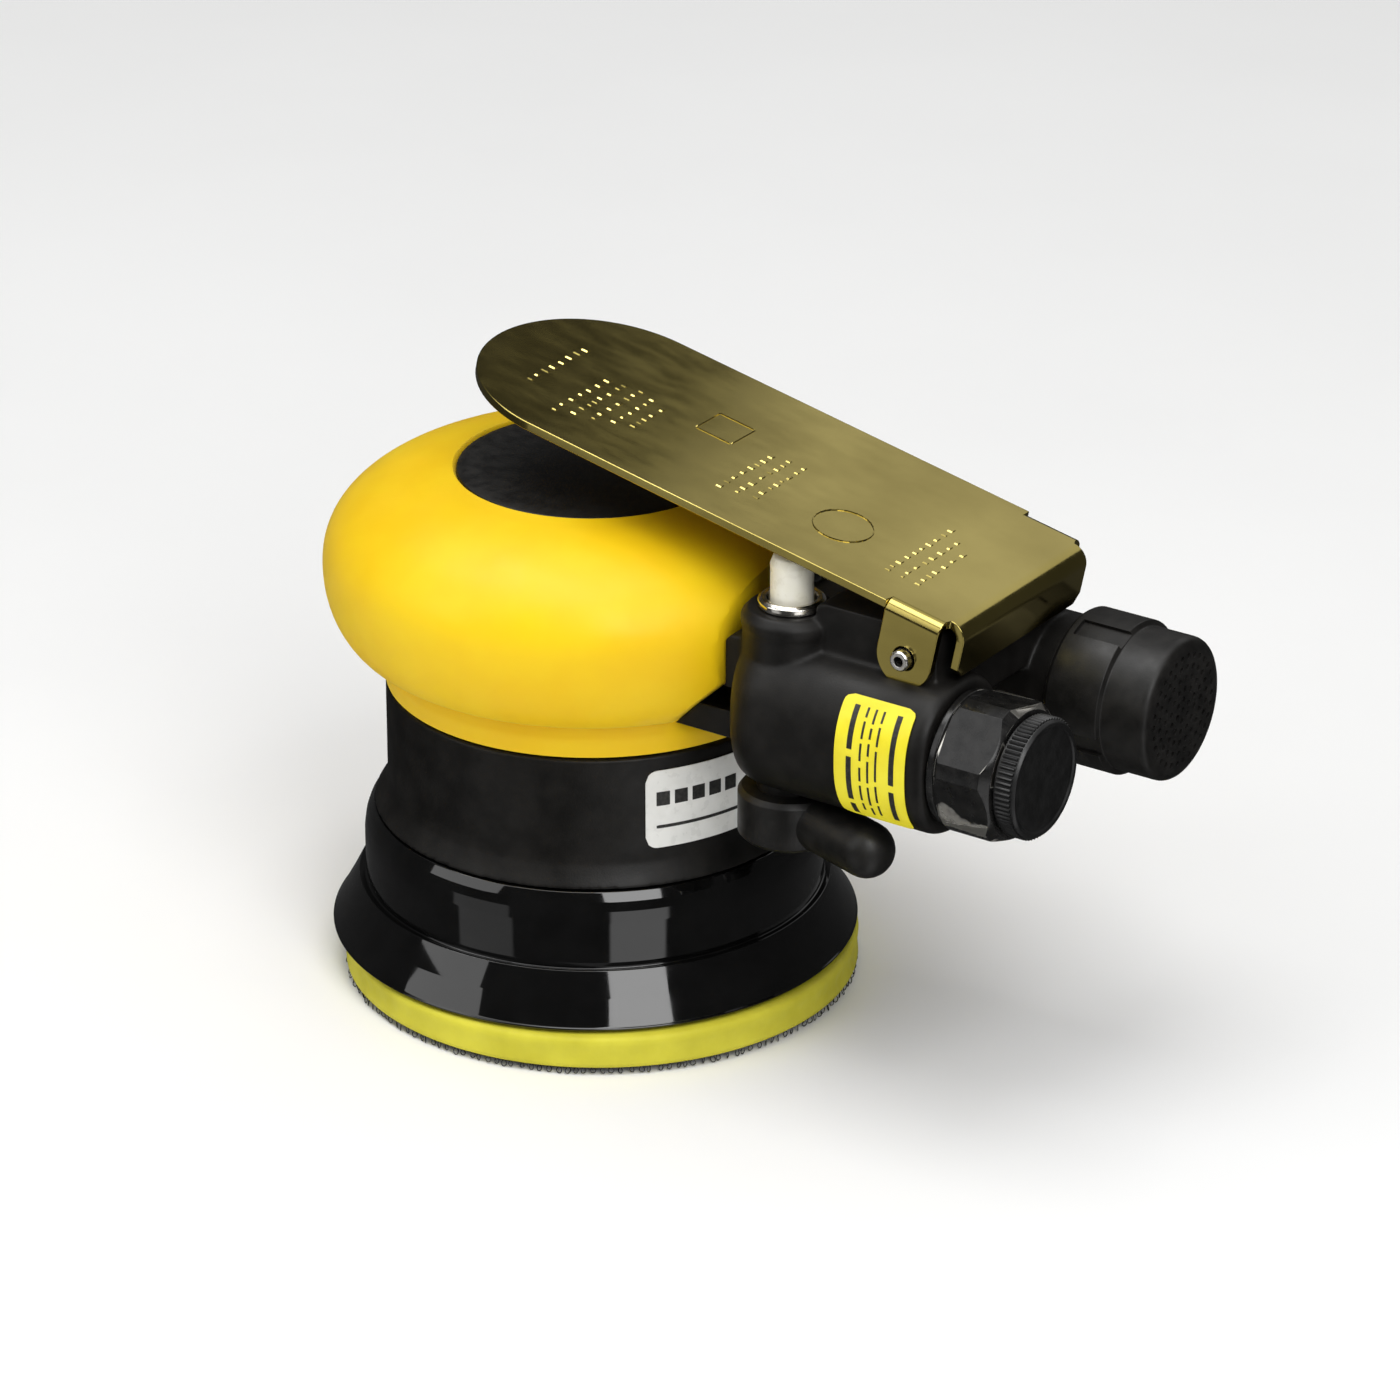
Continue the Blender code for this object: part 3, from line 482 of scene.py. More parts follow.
hook_black = surface("hook_black", (0.018, 0.018, 0.018), 0.55)
mottle(hook_black, (0.010, 0.010, 0.010), (0.03, 0.03, 0.03), 1.5)
grain(hook_black, 1.1, 0.4, 0.9, 4.0, kind="Voronoi")

white_film = surface("label_film_white", (0.80, 0.80, 0.77), 0.32)
mottle(white_film, (0.74, 0.74, 0.71), (0.82, 0.82, 0.79), 0.3)
uneven(white_film, 0.25, 0.4, 0.6)
grain(white_film, 0.5, 0.02, 0.25)

yellow_film = surface("label_film_yellow", (0.92, 0.80, 0.02), 0.34)
mottle(yellow_film, (0.86, 0.73, 0.015), (0.94, 0.83, 0.03), 0.2)
uneven(yellow_film, 0.28, 0.42, 0.6)
grain(yellow_film, 0.5, 0.02, 0.25)

ink = surface("label_ink", (0.02, 0.02, 0.018), 0.45)
mottle(ink, (0.012, 0.012, 0.011), (0.035, 0.034, 0.03), 2.0)


# ------------------------------------------------------------------ grip and housing

def grip_curve(shrink=0.0, count=28):
    """The grip's outer curve from the top disc down to the undercut above its collar."""
    top = DOME_TOP - GRIP_MIDDLE
    crown = []
    for i in range(count + 1):
        radius = DISC_RADIUS + (GRIP_RADIUS - DISC_RADIUS) * sin(pi / 2 * i / count)
        reach = (radius - 8.0) / (GRIP_RADIUS - 8.0)
        rise = min(1.03 * top * max(1 - reach ** 2.6, 0.0) ** (1 / 2.3), top)
        crown.append((radius - shrink, GRIP_MIDDLE + rise * (1 - 0.9 * shrink / top)))
    belly = [(31.4 + 8.25 * cos(t) - shrink, GRIP_MIDDLE - 12.4 * sin(t))
             for t in (radians(88 * i / 16) for i in range(1, 17))]
    return crown + belly


def make_grip():
    outer = grip_curve()
    collar = [(31.3, COLLAR_TOP + 0.5), (30.9, COLLAR_TOP + 0.1), (30.9, COLLAR_TOP - 0.4),
              (31.25, COLLAR_TOP - 1.4), (31.2, 48.6), (30.95, 47.2), (30.8, 46.3, 0.2),
              (30.2, 46.1)]
    inner = [(radius, height) for radius, height in grip_curve(3.3, 10)
             if height > COLLAR_TOP + 3]
    inner = [(DISC_RADIUS - 0.3, DOME_TOP - 1.1)] + inner[1:]
    inner += [(27.9, COLLAR_TOP - 0.5), (27.9, 46.2)]
    top = [(DISC_RADIUS + 0.05, DOME_TOP - 0.25), (DISC_RADIUS + 0.3, DOME_TOP - 0.02)]
    profile = top + outer[1:] + collar + list(reversed(inner))
    grip = lathe("grip_cover", profile, yellow_rubber, steps=192)
    side = Matrix.Rotation(pi / 2, 4, "X")
    notch = extruded("grip_notch", [(26.2, COLLAR_TOP), (34.8, 59.7), (34.8, 90), (60, 90),
                                    (60, COLLAR_TOP)], -50, 50, side)
    boolean(grip, [notch])
    return reshade(grip, 42)


def barrel_section(x, width_scale=1.0, height_scale=1.0, grow=0.0, count=96,
                   start=0.0, sweep=tau):
    """Points of the inlet barrel's superellipse section, counted from +Y towards +Z."""
    power = 2 / BARREL_SQUARENESS
    points = []
    closed = abs(sweep - tau) < 1e-6
    for i in range(count if closed else count + 1):
        angle = start + sweep * i / count
        c, s = cos(angle), sin(angle)
        across = (BARREL_HALF_WIDTH * width_scale + grow) * abs(c) ** power
        upward = (BARREL_HALF_HEIGHT * height_scale + grow) * abs(s) ** power
        points.append((x, INLET_Y + (across if c > 0 else -across),
                       ARM_Z + (upward if s > 0 else -upward)))
    return points


def lofted(name, sections, material=None, sharp=30):
    shape = bmesh.new()
    rings = [[shape.verts.new(metres(p)) for p in section] for section in sections]
    for first, second in zip(rings, rings[1:]):
        for i in range(len(first)):
            j = (i + 1) % len(first)
            shape.faces.new((first[i], first[j], second[j], second[i]))
    shape.faces.new(rings[0])
    shape.faces.new(list(reversed(rings[-1])))
    return from_bmesh(name, shape, material, sharp)


def make_barrel():
    depth, count = 7.0, 10
    sections = []
    for i in range(count + 1):
        back, bulge = cos(pi / 2 * i / count), sin(pi / 2 * i / count)
        sections.append(barrel_section(BARREL_FRONT + depth * (1 - back),
                                       0.35 + 0.65 * bulge, 0.72 + 0.28 * bulge ** 0.5))
    sections.append(barrel_section(BARREL_END - 1.6))
    for share in (0.3, 0.6, 0.85, 1.0):
        sections.append(barrel_section(BARREL_END - 1.6 * (1 - share), 1 - 0.07 * share ** 2,
                                       1 - 0.07 * share ** 2))
    return lofted("barrel", sections)


def make_housing():
    """The moulded body, with every joint between its shapes softened by a fine remesh."""
    dome = [(radius, height) for radius, height in grip_curve(3.6, 12)
            if height > COLLAR_TOP + 3 and radius > DISC_RADIUS]
    profile = [(0, DOME_TOP - 1.4), (DISC_RADIUS - 1, DOME_TOP - 1.4)] + dome
    profile += [(27.6, COLLAR_TOP - 0.6), (27.6, 45.8), (BODY_RADIUS - 0.1, 45.8),
                (BODY_RADIUS, 45.5), (BODY_RADIUS, 31.0, 1.2), (31.1, 29.4, 1), (31.9, 27.8, 1),
                (33.0, SHROUD_TOP + 0.2), (31.2, SHROUD_TOP + 0.2), (31.2, 17.0), (25.2, 17.0),
                (25.2, 68.0), (0, 68.0)]
    housing = lathe("housing_body", profile, composite, steps=144)
    side = Matrix.Rotation(pi / 2, 4, "X")
    web = extruded("web", [(26.6, COLLAR_TOP + 0.3), (35.1, 59.9), (35.1, 67.5, 2),
                           (43, 67.5), (43, COLLAR_TOP + 0.3)], -17.5, 17.5, side)
    boss = lathe("boss", [(0, 58), (BOSS_RADIUS + 0.5, 58), (BOSS_RADIUS, 68.6),
                          (BOSS_RADIUS, 70.6), (BOSS_RADIUS + 0.25, 71.0),
                          (BOSS_RADIUS + 0.25, BOSS_TOP - 1.2, 0.3),
                          (BOSS_RADIUS - 0.9, BOSS_TOP), (0, BOSS_TOP)],
                 at=(STEM_X, INLET_Y, 0), steps=64)
    lug = extruded("lug", [(50.2, 62), (70.3, 62), (70.3, 76, 1.6), (50.2, 76, 1.6)],
                   -LUG_HALF_WIDTH, LUG_HALF_WIDTH, side)
    exhaust = lathe("exhaust_arm", [(0, 35.1), (9.6, 35.1), (9.6, MUFFLER_START - 0.3),
                                    (0, MUFFLER_START - 0.3)],
                    at=(0, MUFFLER_Y, ARM_Z), axis="X", steps=64)
    boolean(housing, [web, make_barrel(), boss, lug, exhaust], "UNION")
    inlet, outlet = (0, INLET_Y, ARM_Z), (0, MUFFLER_Y, ARM_Z)
    stem = (STEM_X, INLET_Y, 0)

    def drill(radius, start, end, at, axis="Z"):
        return lathe("drill", [(0, start), (radius, start), (radius, end), (0, end)], at=at,
                     axis=axis, steps=47, twist=0.023)

    bore = lathe("valve_bore", [(0, 40.6), (5.8, 40.6), (5.8, 57), (8, 57), (8, 71.6),
                                (9.2, 71.6), (9.2, 76), (0, 76)],
                 at=inlet, axis="X", steps=53, twist=0.011)
    boolean(housing, [bore, drill(3.0, 18, 42, inlet, "X"), drill(4.2, 56, 78, stem),
                      drill(5.25, 42, 53.4, stem), drill(7.8, 46, 78, outlet, "X"),
                      drill(4.0, 16, 49, outlet, "X"),
                      drill(1.8, -20, 20, (PIN[0], 0, PIN[2]), "Y")])
    remesh = housing.modifiers.new("Soften", "REMESH")
    remesh.mode = "VOXEL"
    remesh.voxel_size = HOUSING_VOXEL * MM
    remesh.use_smooth_shade = True
    smooth = housing.modifiers.new("Smooth", "SMOOTH")
    smooth.factor = 0.5
    smooth.iterations = HOUSING_SMOOTHING
    settle(housing)
    housing.data.materials.clear()
    housing.data.materials.append(composite)
    return reshade(housing, 75)


def make_top_disc():
    return lathe("top_cap", [(0, DOME_TOP - 1.1), (DISC_RADIUS - 0.3, DOME_TOP - 1.1),
                             (DISC_RADIUS - 0.3, DOME_TOP - 0.25, 0.25),
                             (DISC_RADIUS - 1.4, DOME_TOP + 0.02), (0, DOME_TOP + 0.12)],
                 disc_black, steps=128)


def make_shroud():
    profile = [(31.5, SHROUD_TOP), (32.9, SHROUD_TOP, 0.3), (33.7, SHROUD_TOP - 1.3, 0.6),
               (34.15, SHROUD_TOP - 2.6, 1.2), (SHROUD_RADIUS, SHROUD_TOP - 4.4, 1.6),
               (SHROUD_RADIUS, 15.1, 0.5), (34.2, 14.0, 0.3), (35.35, 14.25, 0.15),
               (37.2, 10.6, 3.0), (39.2, 7.0, 0.6),
               (RIM_RADIUS, RIM_Z + 0.35, 0.2), (RIM_RADIUS - 0.25, RIM_Z, 0.15),
               (38.4, RIM_Z, 0.2), (37.1, 8.5, 0.5), (31.5, 14.4, 0.5)]
    return lathe("shroud_skirt", profile, gloss, steps=256, sharp=50)


# ------------------------------------------------------------------ labels

def corner_inset(distance, corner):
    """How far a rounded corner pulls in at a distance from the end of a film."""
    short = min(max(corner - distance, 0.0), corner)
    return corner - (corner ** 2 - short ** 2) ** 0.5


def body_film(name, start, end, low, high, corner, radius, thickness, material):
    """A film on the round body between two angles in degrees, with rounded corners."""
    width = radians(end - start) * radius
    shape = bmesh.new()
    count = 48
    columns = []
    for i in range(count + 1):
        x = width * i / count
        inset = corner_inset(min(x, width - x), corner)
        angle = radians(start) + x / radius
        columns.append([(radius * cos(angle), radius * sin(angle), z)
                        for z in (low + inset, high - inset)])
    for first, second in zip(columns, columns[1:]):
        shape.faces.new([shape.verts.new(metres(p))
                         for p in (first[0], second[0], second[1], first[1])])
    bmesh.ops.remove_doubles(shape, verts=shape.verts, dist=0.01 * MM)
    film = from_bmesh(name, shape, material)
    sheet = film.modifiers.new("Film", "SOLIDIFY")
    sheet.thickness = thickness * MM
    sheet.offset = 1
    settle(film)
    return reshade(film)


def make_side_label():
    label = body_film("side_label_film", -41, -1, 31.3, 43.6, 1.8, BODY_RADIUS + 0.12, 0.12,
                      white_film)
    radius = BODY_RADIUS + 0.25
    bars = [(-38.0 + 5.2 * i, -34.2 + 5.2 * i, 38.0, 40.2) for i in range(5)]
    bars.append((-38.0, -10.0, 34.4, 34.9))
    marks = [body_film("bar", *bar, 0.05, radius, 0.02, ink) for bar in bars]
    return label, merged("side_label_bars", marks)


def barrel_film(name, low_x, high_x, start, sweep, corner, grow, thickness, material):
    """A film wrapped round the outer side of the barrel, angles in radians from +Y."""
    count = 40
    shape = bmesh.new()
    columns = []
    for i in range(count + 1):
        _, y, z = barrel_section(0, grow=grow, count=1, start=start + sweep * i / count,
                                 sweep=0.001)[0]
        reach = min(i, count - i) / count * sweep * BARREL_HALF_WIDTH
        inset = corner_inset(reach, corner)
        columns.append([(low_x + inset, y, z), (high_x - inset, y, z)])
    for first, second in zip(columns, columns[1:]):
        shape.faces.new([shape.verts.new(metres(p))
                         for p in (first[0], first[1], second[1], second[0])])
    bmesh.ops.remove_doubles(shape, verts=shape.verts, dist=0.005 * MM)
    film = from_bmesh(name, shape, material)
    facing = film.data.polygons[len(film.data.polygons) // 2].normal
    if facing.y > 0:
        film.data.flip_normals()
    sheet = film.modifiers.new("Film", "SOLIDIFY")
    sheet.thickness = thickness * MM
    sheet.offset = 1
    settle(film)
    return reshade(film)


def make_inlet_label():
    start, sweep = pi - radians(50), radians(100)
    label = barrel_film("inlet_label_film", 59.3, 70.9, start, sweep, 1.3, 0.12, 0.12,
                        yellow_film)
    rng = random.Random(7)
    marks = []
    for x, height, dash, gap in ((61.3, 0.85, (5, 9), 0.9), (63.4, 0.34, (1.4, 3.4), 0.6),
                                 (64.7, 0.34, (1.4, 3.4), 0.6), (66.0, 0.34, (1.4, 3.4), 0.6),
                                 (68.3, 0.85, (5, 9), 0.9)):
        reach = radians(8)
        while reach < sweep - radians(14):
            length = rng.uniform(*dash) / BARREL_HALF_WIDTH
            length = min(length, sweep - radians(6) - reach)
            marks.append(barrel_film("dash", x, x + height, start + reach, length, 0.01, 0.25,
                                     0.02, ink))
            reach += length + gap / BARREL_HALF_WIDTH
    return label, merged("inlet_label_bars", marks)


# ------------------------------------------------------------------ lever and stem

LEVER_PLACE = Matrix.Translation(metres(PIN)) @ Matrix.Rotation(LEVER_PITCH, 4, "Y")


def make_lever():
    """The lever, bent from sheet: a plate, two ears and a rear flange with round bends."""
    top, side, rear, flange = LEVER_TOP, LEVER_HALF_WIDTH, 7.4, 16.4
    ear_bend, rear_bend, bend_steps = 1.9, 2.6, 10
    shape = bmesh.new()

    def vertex(x, y, z=top):
        return shape.verts.new(metres((x, y, z)))

    def bent(radius, place):
        """Rows of a quarter bend; place(out, down) gives a row's two ends."""
        rows = []
        for k in range(bend_steps + 1):
            angle = pi / 2 * k / bend_steps
            rows.append([vertex(*end) for end in place(radius * sin(angle) - radius,
                                                       radius * cos(angle) - radius)])
        return rows

    def strip(rows):
        return [shape.faces.new((first[0], first[1], second[1], second[0]))
                for first, second in zip(rows, rows[1:])]

    ears = {sign: bent(ear_bend, lambda out, down: [(x, sign * (side + out), top + down)
                                                    for x in (-EAR_RADIUS, EAR_RADIUS)])
            for sign in (1, -1)}
    back = bent(rear_bend, lambda out, down: [(rear + out, y, top + down)
                                              for y in (-flange, flange)])
    tip = [vertex(side - LEVER_REACH + side * cos(a), side * sin(a)) for a in
           (radians(90 + 180 * i / 48) for i in range(49))]
    near, far = ears[-1][0], ears[1][0]
    plate = shape.faces.new(tip + [vertex(-EAR_RADIUS, -side), near[0], near[1], back[0][0],
                                   back[0][1], far[1], far[0], vertex(-EAR_RADIUS, side)])
    strip(back)
    for sign in (1, -1):
        strip(ears[sign])
        bottom = [vertex(EAR_RADIUS * cos(a), sign * side, EAR_RADIUS * sin(a)) for a in
                  (radians(-180 * i / 24) for i in range(25))]
        shape.faces.new(ears[sign][-1] + bottom)
    low, corner = top - LEVER_FLANGE, 1.5
    shape.faces.new(
        [back[-1][0], vertex(rear, -flange, low + corner), vertex(rear, corner - flange, low),
         vertex(rear, flange - corner, low), vertex(rear, flange, low + corner), back[-1][1]])
    bmesh.ops.recalc_face_normals(shape, faces=shape.faces)
    if plate.normal.z < 0:
        bmesh.ops.reverse_faces(shape, faces=shape.faces)
    bmesh.ops.transform(shape, matrix=LEVER_PLACE, verts=shape.verts)
    mesh = bpy.data.meshes.new("lever_plate")
    shape.to_mesh(mesh)
    shape.free()
    lever = link("lever_plate", mesh, olive_gold)
    sheet = lever.modifiers.new("Sheet", "SOLIDIFY")
    sheet.thickness = LEVER_THICKNESS * MM
    sheet.offset = -1
    sheet.use_even_offset = True
    settle(lever)
    hole = lathe("ear_holes", [(0, -24), (1.75, -24), (1.75, 24), (0, 24)], at=PIN, axis="Y",
                 steps=48)
    boolean(lever, [hole])
    bevelled(lever, 0.42, 4, 55, 24)
    return lever


def make_lever_marks():
    """Rows of plain stamped ticks on the plate, with no lettering."""
    rng = random.Random(3)
    shape = bmesh.new()

    def tick(x, y, length, width, turn=0.0, rise=0.16):
        """A raised mark with sloping sides, narrower at its top."""
        place = (LEVER_PLACE @ Matrix.Translation(metres((x, y, LEVER_TOP)))
                 @ Matrix.Rotation(turn, 4, "Z"))
        size = Matrix.Diagonal((length * MM, width * MM, 2 * rise * MM, 1))
        made = bmesh.ops.create_cube(shape, size=1, matrix=place @ size)
        for v in made["verts"]:
            local = place.inverted() @ v.co
            if local.z > 0:
                local.x *= 0.8
                local.y *= 0.4
                v.co = place @ local

    def row(x, y, reach, depth):
        """Plain stamped dashes of uneven length, one after another across the plate."""
        end = y + reach
        while y < end:
            length = rng.uniform(0.6, 1.9)
            tick(x + rng.uniform(-0.12, 0.12), y + length / 2, depth * rng.uniform(0.45, 1.1),
                 length, rise=0.13)
            y += length + rng.uniform(0.45, 0.8)

    def outline(x, y, corners, radius, width=0.34):
        """A plain stamped outline with straight sides."""
        points = [(x + radius * cos(tau * (i + 0.5) / corners),
                   y + radius * sin(tau * (i + 0.5) / corners)) for i in range(corners)]
        for i, (x0, y0) in enumerate(points):
            x1, y1 = points[(i + 1) % corners]
            length = ((x1 - x0) ** 2 + (y1 - y0) ** 2) ** 0.5
            tick((x0 + x1) / 2, (y0 + y1) / 2, length * 1.1, width, atan2(y1 - y0, x1 - x0))

    row(-74, -8.5, 15, 1.3)
    for i in range(5):
        row(-66.5 + 2.6 * i, -13.0 + 1.3 * i, 15 - 1.5 * i, 1.0)
    for i in range(3):
        row(-38 + 2.6 * i, -12.0 + 0.8 * i, 14, 1.0)
    for i in range(3):
        row(-9 + 2.5 * i, -12.0, 18 - 3 * i, 1.0)
    outline(-47, 3.0, 4, 4.4)
    outline(-20, -6.5, 28, 4.4)
    return from_bmesh("lever_marks", shape, olive_gold, 20)


def make_lever_pin():
    """The hollow roll pin through the lug and both ears."""
    return lathe("roll_pin", [(0.75, 20.3, 0.1), (1.3, 20.3, 0.25), (1.5, 20.0), (1.5, -20.0),
                              (1.3, -20.3, 0.25), (0.75, -20.3, 0.1)],
                 bright_steel, at=PIN, axis="Y", steps=48)


def make_stem_parts():
    at = (STEM_X, INLET_Y, 0)
    ring = lathe("stem_ring", [(3.5, 62.5), (4.0, 62.5), (4.0, BOSS_TOP + 0.15),
                               (4.85, BOSS_TOP + 0.15, 0.1), (4.85, BOSS_TOP + 1.0, 0.35),
                               (4.3, BOSS_TOP + 1.45, 0.3), (3.7, BOSS_TOP + 1.4, 0.15),
                               (3.5, BOSS_TOP + 0.9)], nickel, at, steps=96)
    stem = lathe("stem_plunger", [(0, 82.0), (1.4, 81.85, 0.8), (2.7, 81.1, 0.8),
                                  (3.1, 79.9, 0.4), (3.1, 66.9), (2.1, 66.9), (2.1, 65.3),
                                  (3.1, 65.3), (3.1, 61.2), (1.6, 60.4), (1.6, 59.2),
                                  (1.2, 58.9), (0, 58.9)], acetal, at, steps=64)
    return ring, stem


# ------------------------------------------------------------------ inlet

def make_bushing():
    """The hexagonal inlet bushing, with corners turned off at both ends."""
    at = (0, INLET_Y, ARM_Z)
    blank = lathe("hex_bushing", [(5.2, 83.6), (9.2, 83.6, 0.2), (10.4, 82.3, 0.3),
                                  (10.4, 75.5, 0.3), (9.9, 75.0), (9.9, 74.9), (7.6, 74.9),
                                  (7.6, 71.0), (5.2, 71.0)],
                  black_steel, at, "X", 144)
    corner = HEX_FLATS / 3 ** 0.5
    turns = [HEX_TURN + tau * i / 6 for i in range(6)]
    outline = [(-corner * sin(a), -corner * cos(a), 1.0) for a in turns]
    place = Matrix.Translation(metres((80, INLET_Y, ARM_Z))) @ Matrix.Rotation(pi / 2, 4, "Y")
    prism = extruded("prism", outline, -20, 20, place)
    boolean(blank, [prism], "INTERSECT")
    reshade(blank, 24)
    bevelled(blank, 0.22, 2, 22, 30)
    washer = lathe("hex_washer", [(7.9, 73.72), (9.95, 73.72, 0.15), (9.95, 74.7, 0.25),
                                  (9.5, 74.9), (7.9, 74.9)], black_steel, at, "X", 96)
    return blank, washer


def make_plug():
    """The dust plug: a flat face inside a rim with fine knurling."""
    at = (0, INLET_Y, ARM_Z)
    plug = lathe("dust_plug", [(0, 78.0), (4.6, 78.0), (4.9, 78.4), (4.9, 83.85), (8.55, 83.85),
                               (8.55, 86.7, 0.4), (8.2, 87.2, 0.3), (7.7, 87.2, 0.25),
                               (7.4, 86.9, 0.25), (0, 86.9)], plug_plastic, at, "X", 144)
    shape = bmesh.new()
    teeth = 72
    for i in range(teeth):
        turn = Matrix.Rotation(tau * i / teeth, 4, "X")
        place = (Matrix.Translation(metres((0, INLET_Y, ARM_Z))) @ turn
                 @ Matrix.Translation(metres((85.35, 0, 8.58))) @ Matrix.Rotation(pi / 4, 4, "X"))
        size = Matrix.Diagonal((2.4 * MM, 0.44 * MM, 0.44 * MM, 1))
        bmesh.ops.create_cube(shape, size=1, matrix=place @ size)
    knurl = from_bmesh("plug_knurl", shape, plug_plastic, 30)
    bevelled(knurl, 0.08, 2, 35, 40)
    return plug, knurl


def make_speed_control():
    at = (STEM_X, INLET_Y, 0)
    control = lathe("speed_dial", [(0, 37.8), (6.8, 37.8, 0.5), (7.6, 38.6, 0.5),
                                   (7.6, 44.8, 0.5), (7.0, 45.6), (4.9, 45.6), (4.9, 50.9),
                                   (0, 50.9)], fine_plastic, at, steps=64)
    length, radius = 17.2, 4.1
    capsule = [(0, length + radius)]
    capsule += [(radius * sin(radians(a)), length + radius * cos(radians(a)))
                for a in range(10, 91, 10)]
    capsule += [(radius, 0), (0, 0)]
    bar = lathe("bar", capsule, steps=48)
    place = (Matrix.Translation(metres((STEM_X, INLET_Y, 41.8)))
             @ Matrix.Rotation(CONTROL_ANGLE, 4, "Z") @ Matrix.Rotation(pi / 2, 4, "Y"))
    bar.data.transform(place)
    boolean(control, [bar], "UNION")
    return reshade(control, 35)


# ------------------------------------------------------------------ muffler

def make_muffler():
    at = (0, MUFFLER_Y, ARM_Z)
    body = lathe("muffler_cover", [(8.9, MUFFLER_START), (11.0, MUFFLER_START, 0.3),
                                   (11.4, MUFFLER_START + 0.6, 0.3), (11.4, 83.5, 0.25),
                                   (MUFFLER_RADIUS, 83.9, 0.3),
                                   (MUFFLER_RADIUS, MUFFLER_END, 1.5), (0, MUFFLER_END),
                                   (0, MUFFLER_END - 1.6), (8.9, MUFFLER_END - 1.6)],
                 fine_plastic, at, "X", 128)
    cutters = []
    for angle in (20, 110, 200, 290):
        place = Matrix.Translation(metres(at)) @ Matrix.Rotation(radians(angle), 4, "X")
        cutters.append(block("notch", (MUFFLER_START + 1.4, -1.6, 10.75), (85, 1.6, 14), place))
    pits = bmesh.new()
    spots = [(0, 0)]
    for ring_number in range(1, 6):
        count = ring_number * 6
        spots += [(1.62 * ring_number, tau * (i + 0.37 * ring_number) / count)
                  for i in range(count)]
    for radius, angle in spots:
        place = (Matrix.Translation(metres((MUFFLER_END, MUFFLER_Y + radius * cos(angle),
                                            ARM_Z + radius * sin(angle))))
                 @ Matrix.Rotation(pi / 2, 4, "Y"))
        bmesh.ops.create_cone(pits, cap_ends=True, segments=8, radius1=0.38 * MM,
                              radius2=0.52 * MM, depth=1.0 * MM, matrix=place)
    cutters.append(from_bmesh("pits", pits))
    boolean(body, cutters)
    return reshade(body, 32)


# ------------------------------------------------------------------ pad

def make_foam():
    """The foam disc: slightly bulged between its two skins."""
    rim = PAD_RADIUS - 0.1
    side = [(rim - 0.7, 6.0), (rim - 0.25, 5.85), (rim + 0.02, 5.3)]
    side += [(rim + 0.02 - 0.18 * sin(pi * i / 8), 5.0 - 3.5 * i / 8) for i in range(1, 8)]
    side += [(rim, 1.35), (rim - 0.25, FOAM_BOTTOM)]
    return lathe("foam_disc", [(0, 6.0)] + side + [(0, FOAM_BOTTOM)], foam, (PAD_X, PAD_Y, 0),
                 steps=192, sharp=60)


def make_hook_base():
    rim = PAD_RADIUS - 0.7
    return lathe("hook_base", [(0, FOAM_BOTTOM), (rim, FOAM_BOTTOM), (rim, FOAM_BOTTOM - 0.2),
                               (0, FOAM_BOTTOM - 0.2)],
                 hook_black, (PAD_X, PAD_Y, 0), steps=128)


def make_hooks():
    """Small wire loops under the hook fabric: long ones round its rim, short ones inside."""
    wire_radius, row_gap, loop_gap = 0.07, 1.9, 2.1
    rng = random.Random(11)
    curve = bpy.data.curves.new("hooks", "CURVE")
    curve.dimensions = "3D"
    curve.bevel_depth = wire_radius * MM
    curve.bevel_resolution = 1
    rim = PAD_RADIUS - 0.35
    rows = [(rim, 178, 0.9)]
    rows += [(radius, int(tau * radius / loop_gap), 0.55) for radius in
             (rim - row_gap * k for k in range(1, 20))]
    corners = 11
    for radius, count, length in rows:
        for i in range(count):
            angle = tau * (i + rng.uniform(-0.25, 0.25)) / count
            outward = Vector((cos(angle), sin(angle), 0))
            turn = angle + pi / 2 + rng.uniform(-0.8, 0.8)
            along = Vector((cos(turn), sin(turn), 0))
            lean = rng.uniform(-0.2, 0.2)
            width = rng.uniform(0.30, 0.42)
            height = length * rng.uniform(0.85, 1.08)
            foot = Vector((PAD_X, PAD_Y, 0)) + outward * radius
            spline = curve.splines.new("POLY")
            spline.points.add(corners - 1)
            for k in range(corners):
                bend = tau * (0.08 + 0.84 * k / (corners - 1))
                fall = height * (1 - cos(bend)) / 2
                point = (foot + along * (width * sin(bend)) + outward * (lean * fall)
                         + Vector((0, 0, LOOP_TOP - fall)))
                spline.points[k].co = (*metres(point), 1)
    loops = bpy.data.objects.new("hook_loops", curve)
    bpy.context.scene.collection.objects.link(loops)
    graph = bpy.context.evaluated_depsgraph_get()
    mesh = bpy.data.meshes.new_from_object(loops.evaluated_get(graph), depsgraph=graph)
    bpy.data.objects.remove(loops, do_unlink=True)
    mesh.materials.clear()
    return link("hook_loops", mesh, hook_black, 60)


# ------------------------------------------------------------------ build the pieces

def fit_all(pieces, body, node):
    for piece in pieces:
        fit(piece, body, node)


fit(make_housing(), "body", "housing")
fit(make_grip(), "body", "grip")
fit(make_top_disc(), "body", "top_disc")
fit(make_shroud(), "body", "shroud")
fit_all(make_side_label(), "body", "side_label")
fit_all(make_inlet_label(), "body", "inlet_label")
fit(make_lever(), "lever", "throttle_lever")
fit(make_lever_marks(), "lever", "throttle_lever")
fit(make_lever_pin(), "body", "lever_pin")
stem_ring, stem_plunger = make_stem_parts()
fit(stem_ring, "body", "valve_bushing")
fit(stem_plunger, "stem", "valve_stem")
fit_all(make_bushing(), "body", "inlet_bushing")
fit_all(make_plug(), "plug", "inlet_plug")
fit(make_speed_control(), "control", "speed_control")
fit(make_muffler(), "body", "muffler_body")
foam_disc = fit(make_foam(), "pad", "pad_foam")
fit(make_hook_base(), "pad", "hook_face")
fit(make_hooks(), "pad", "hook_face")

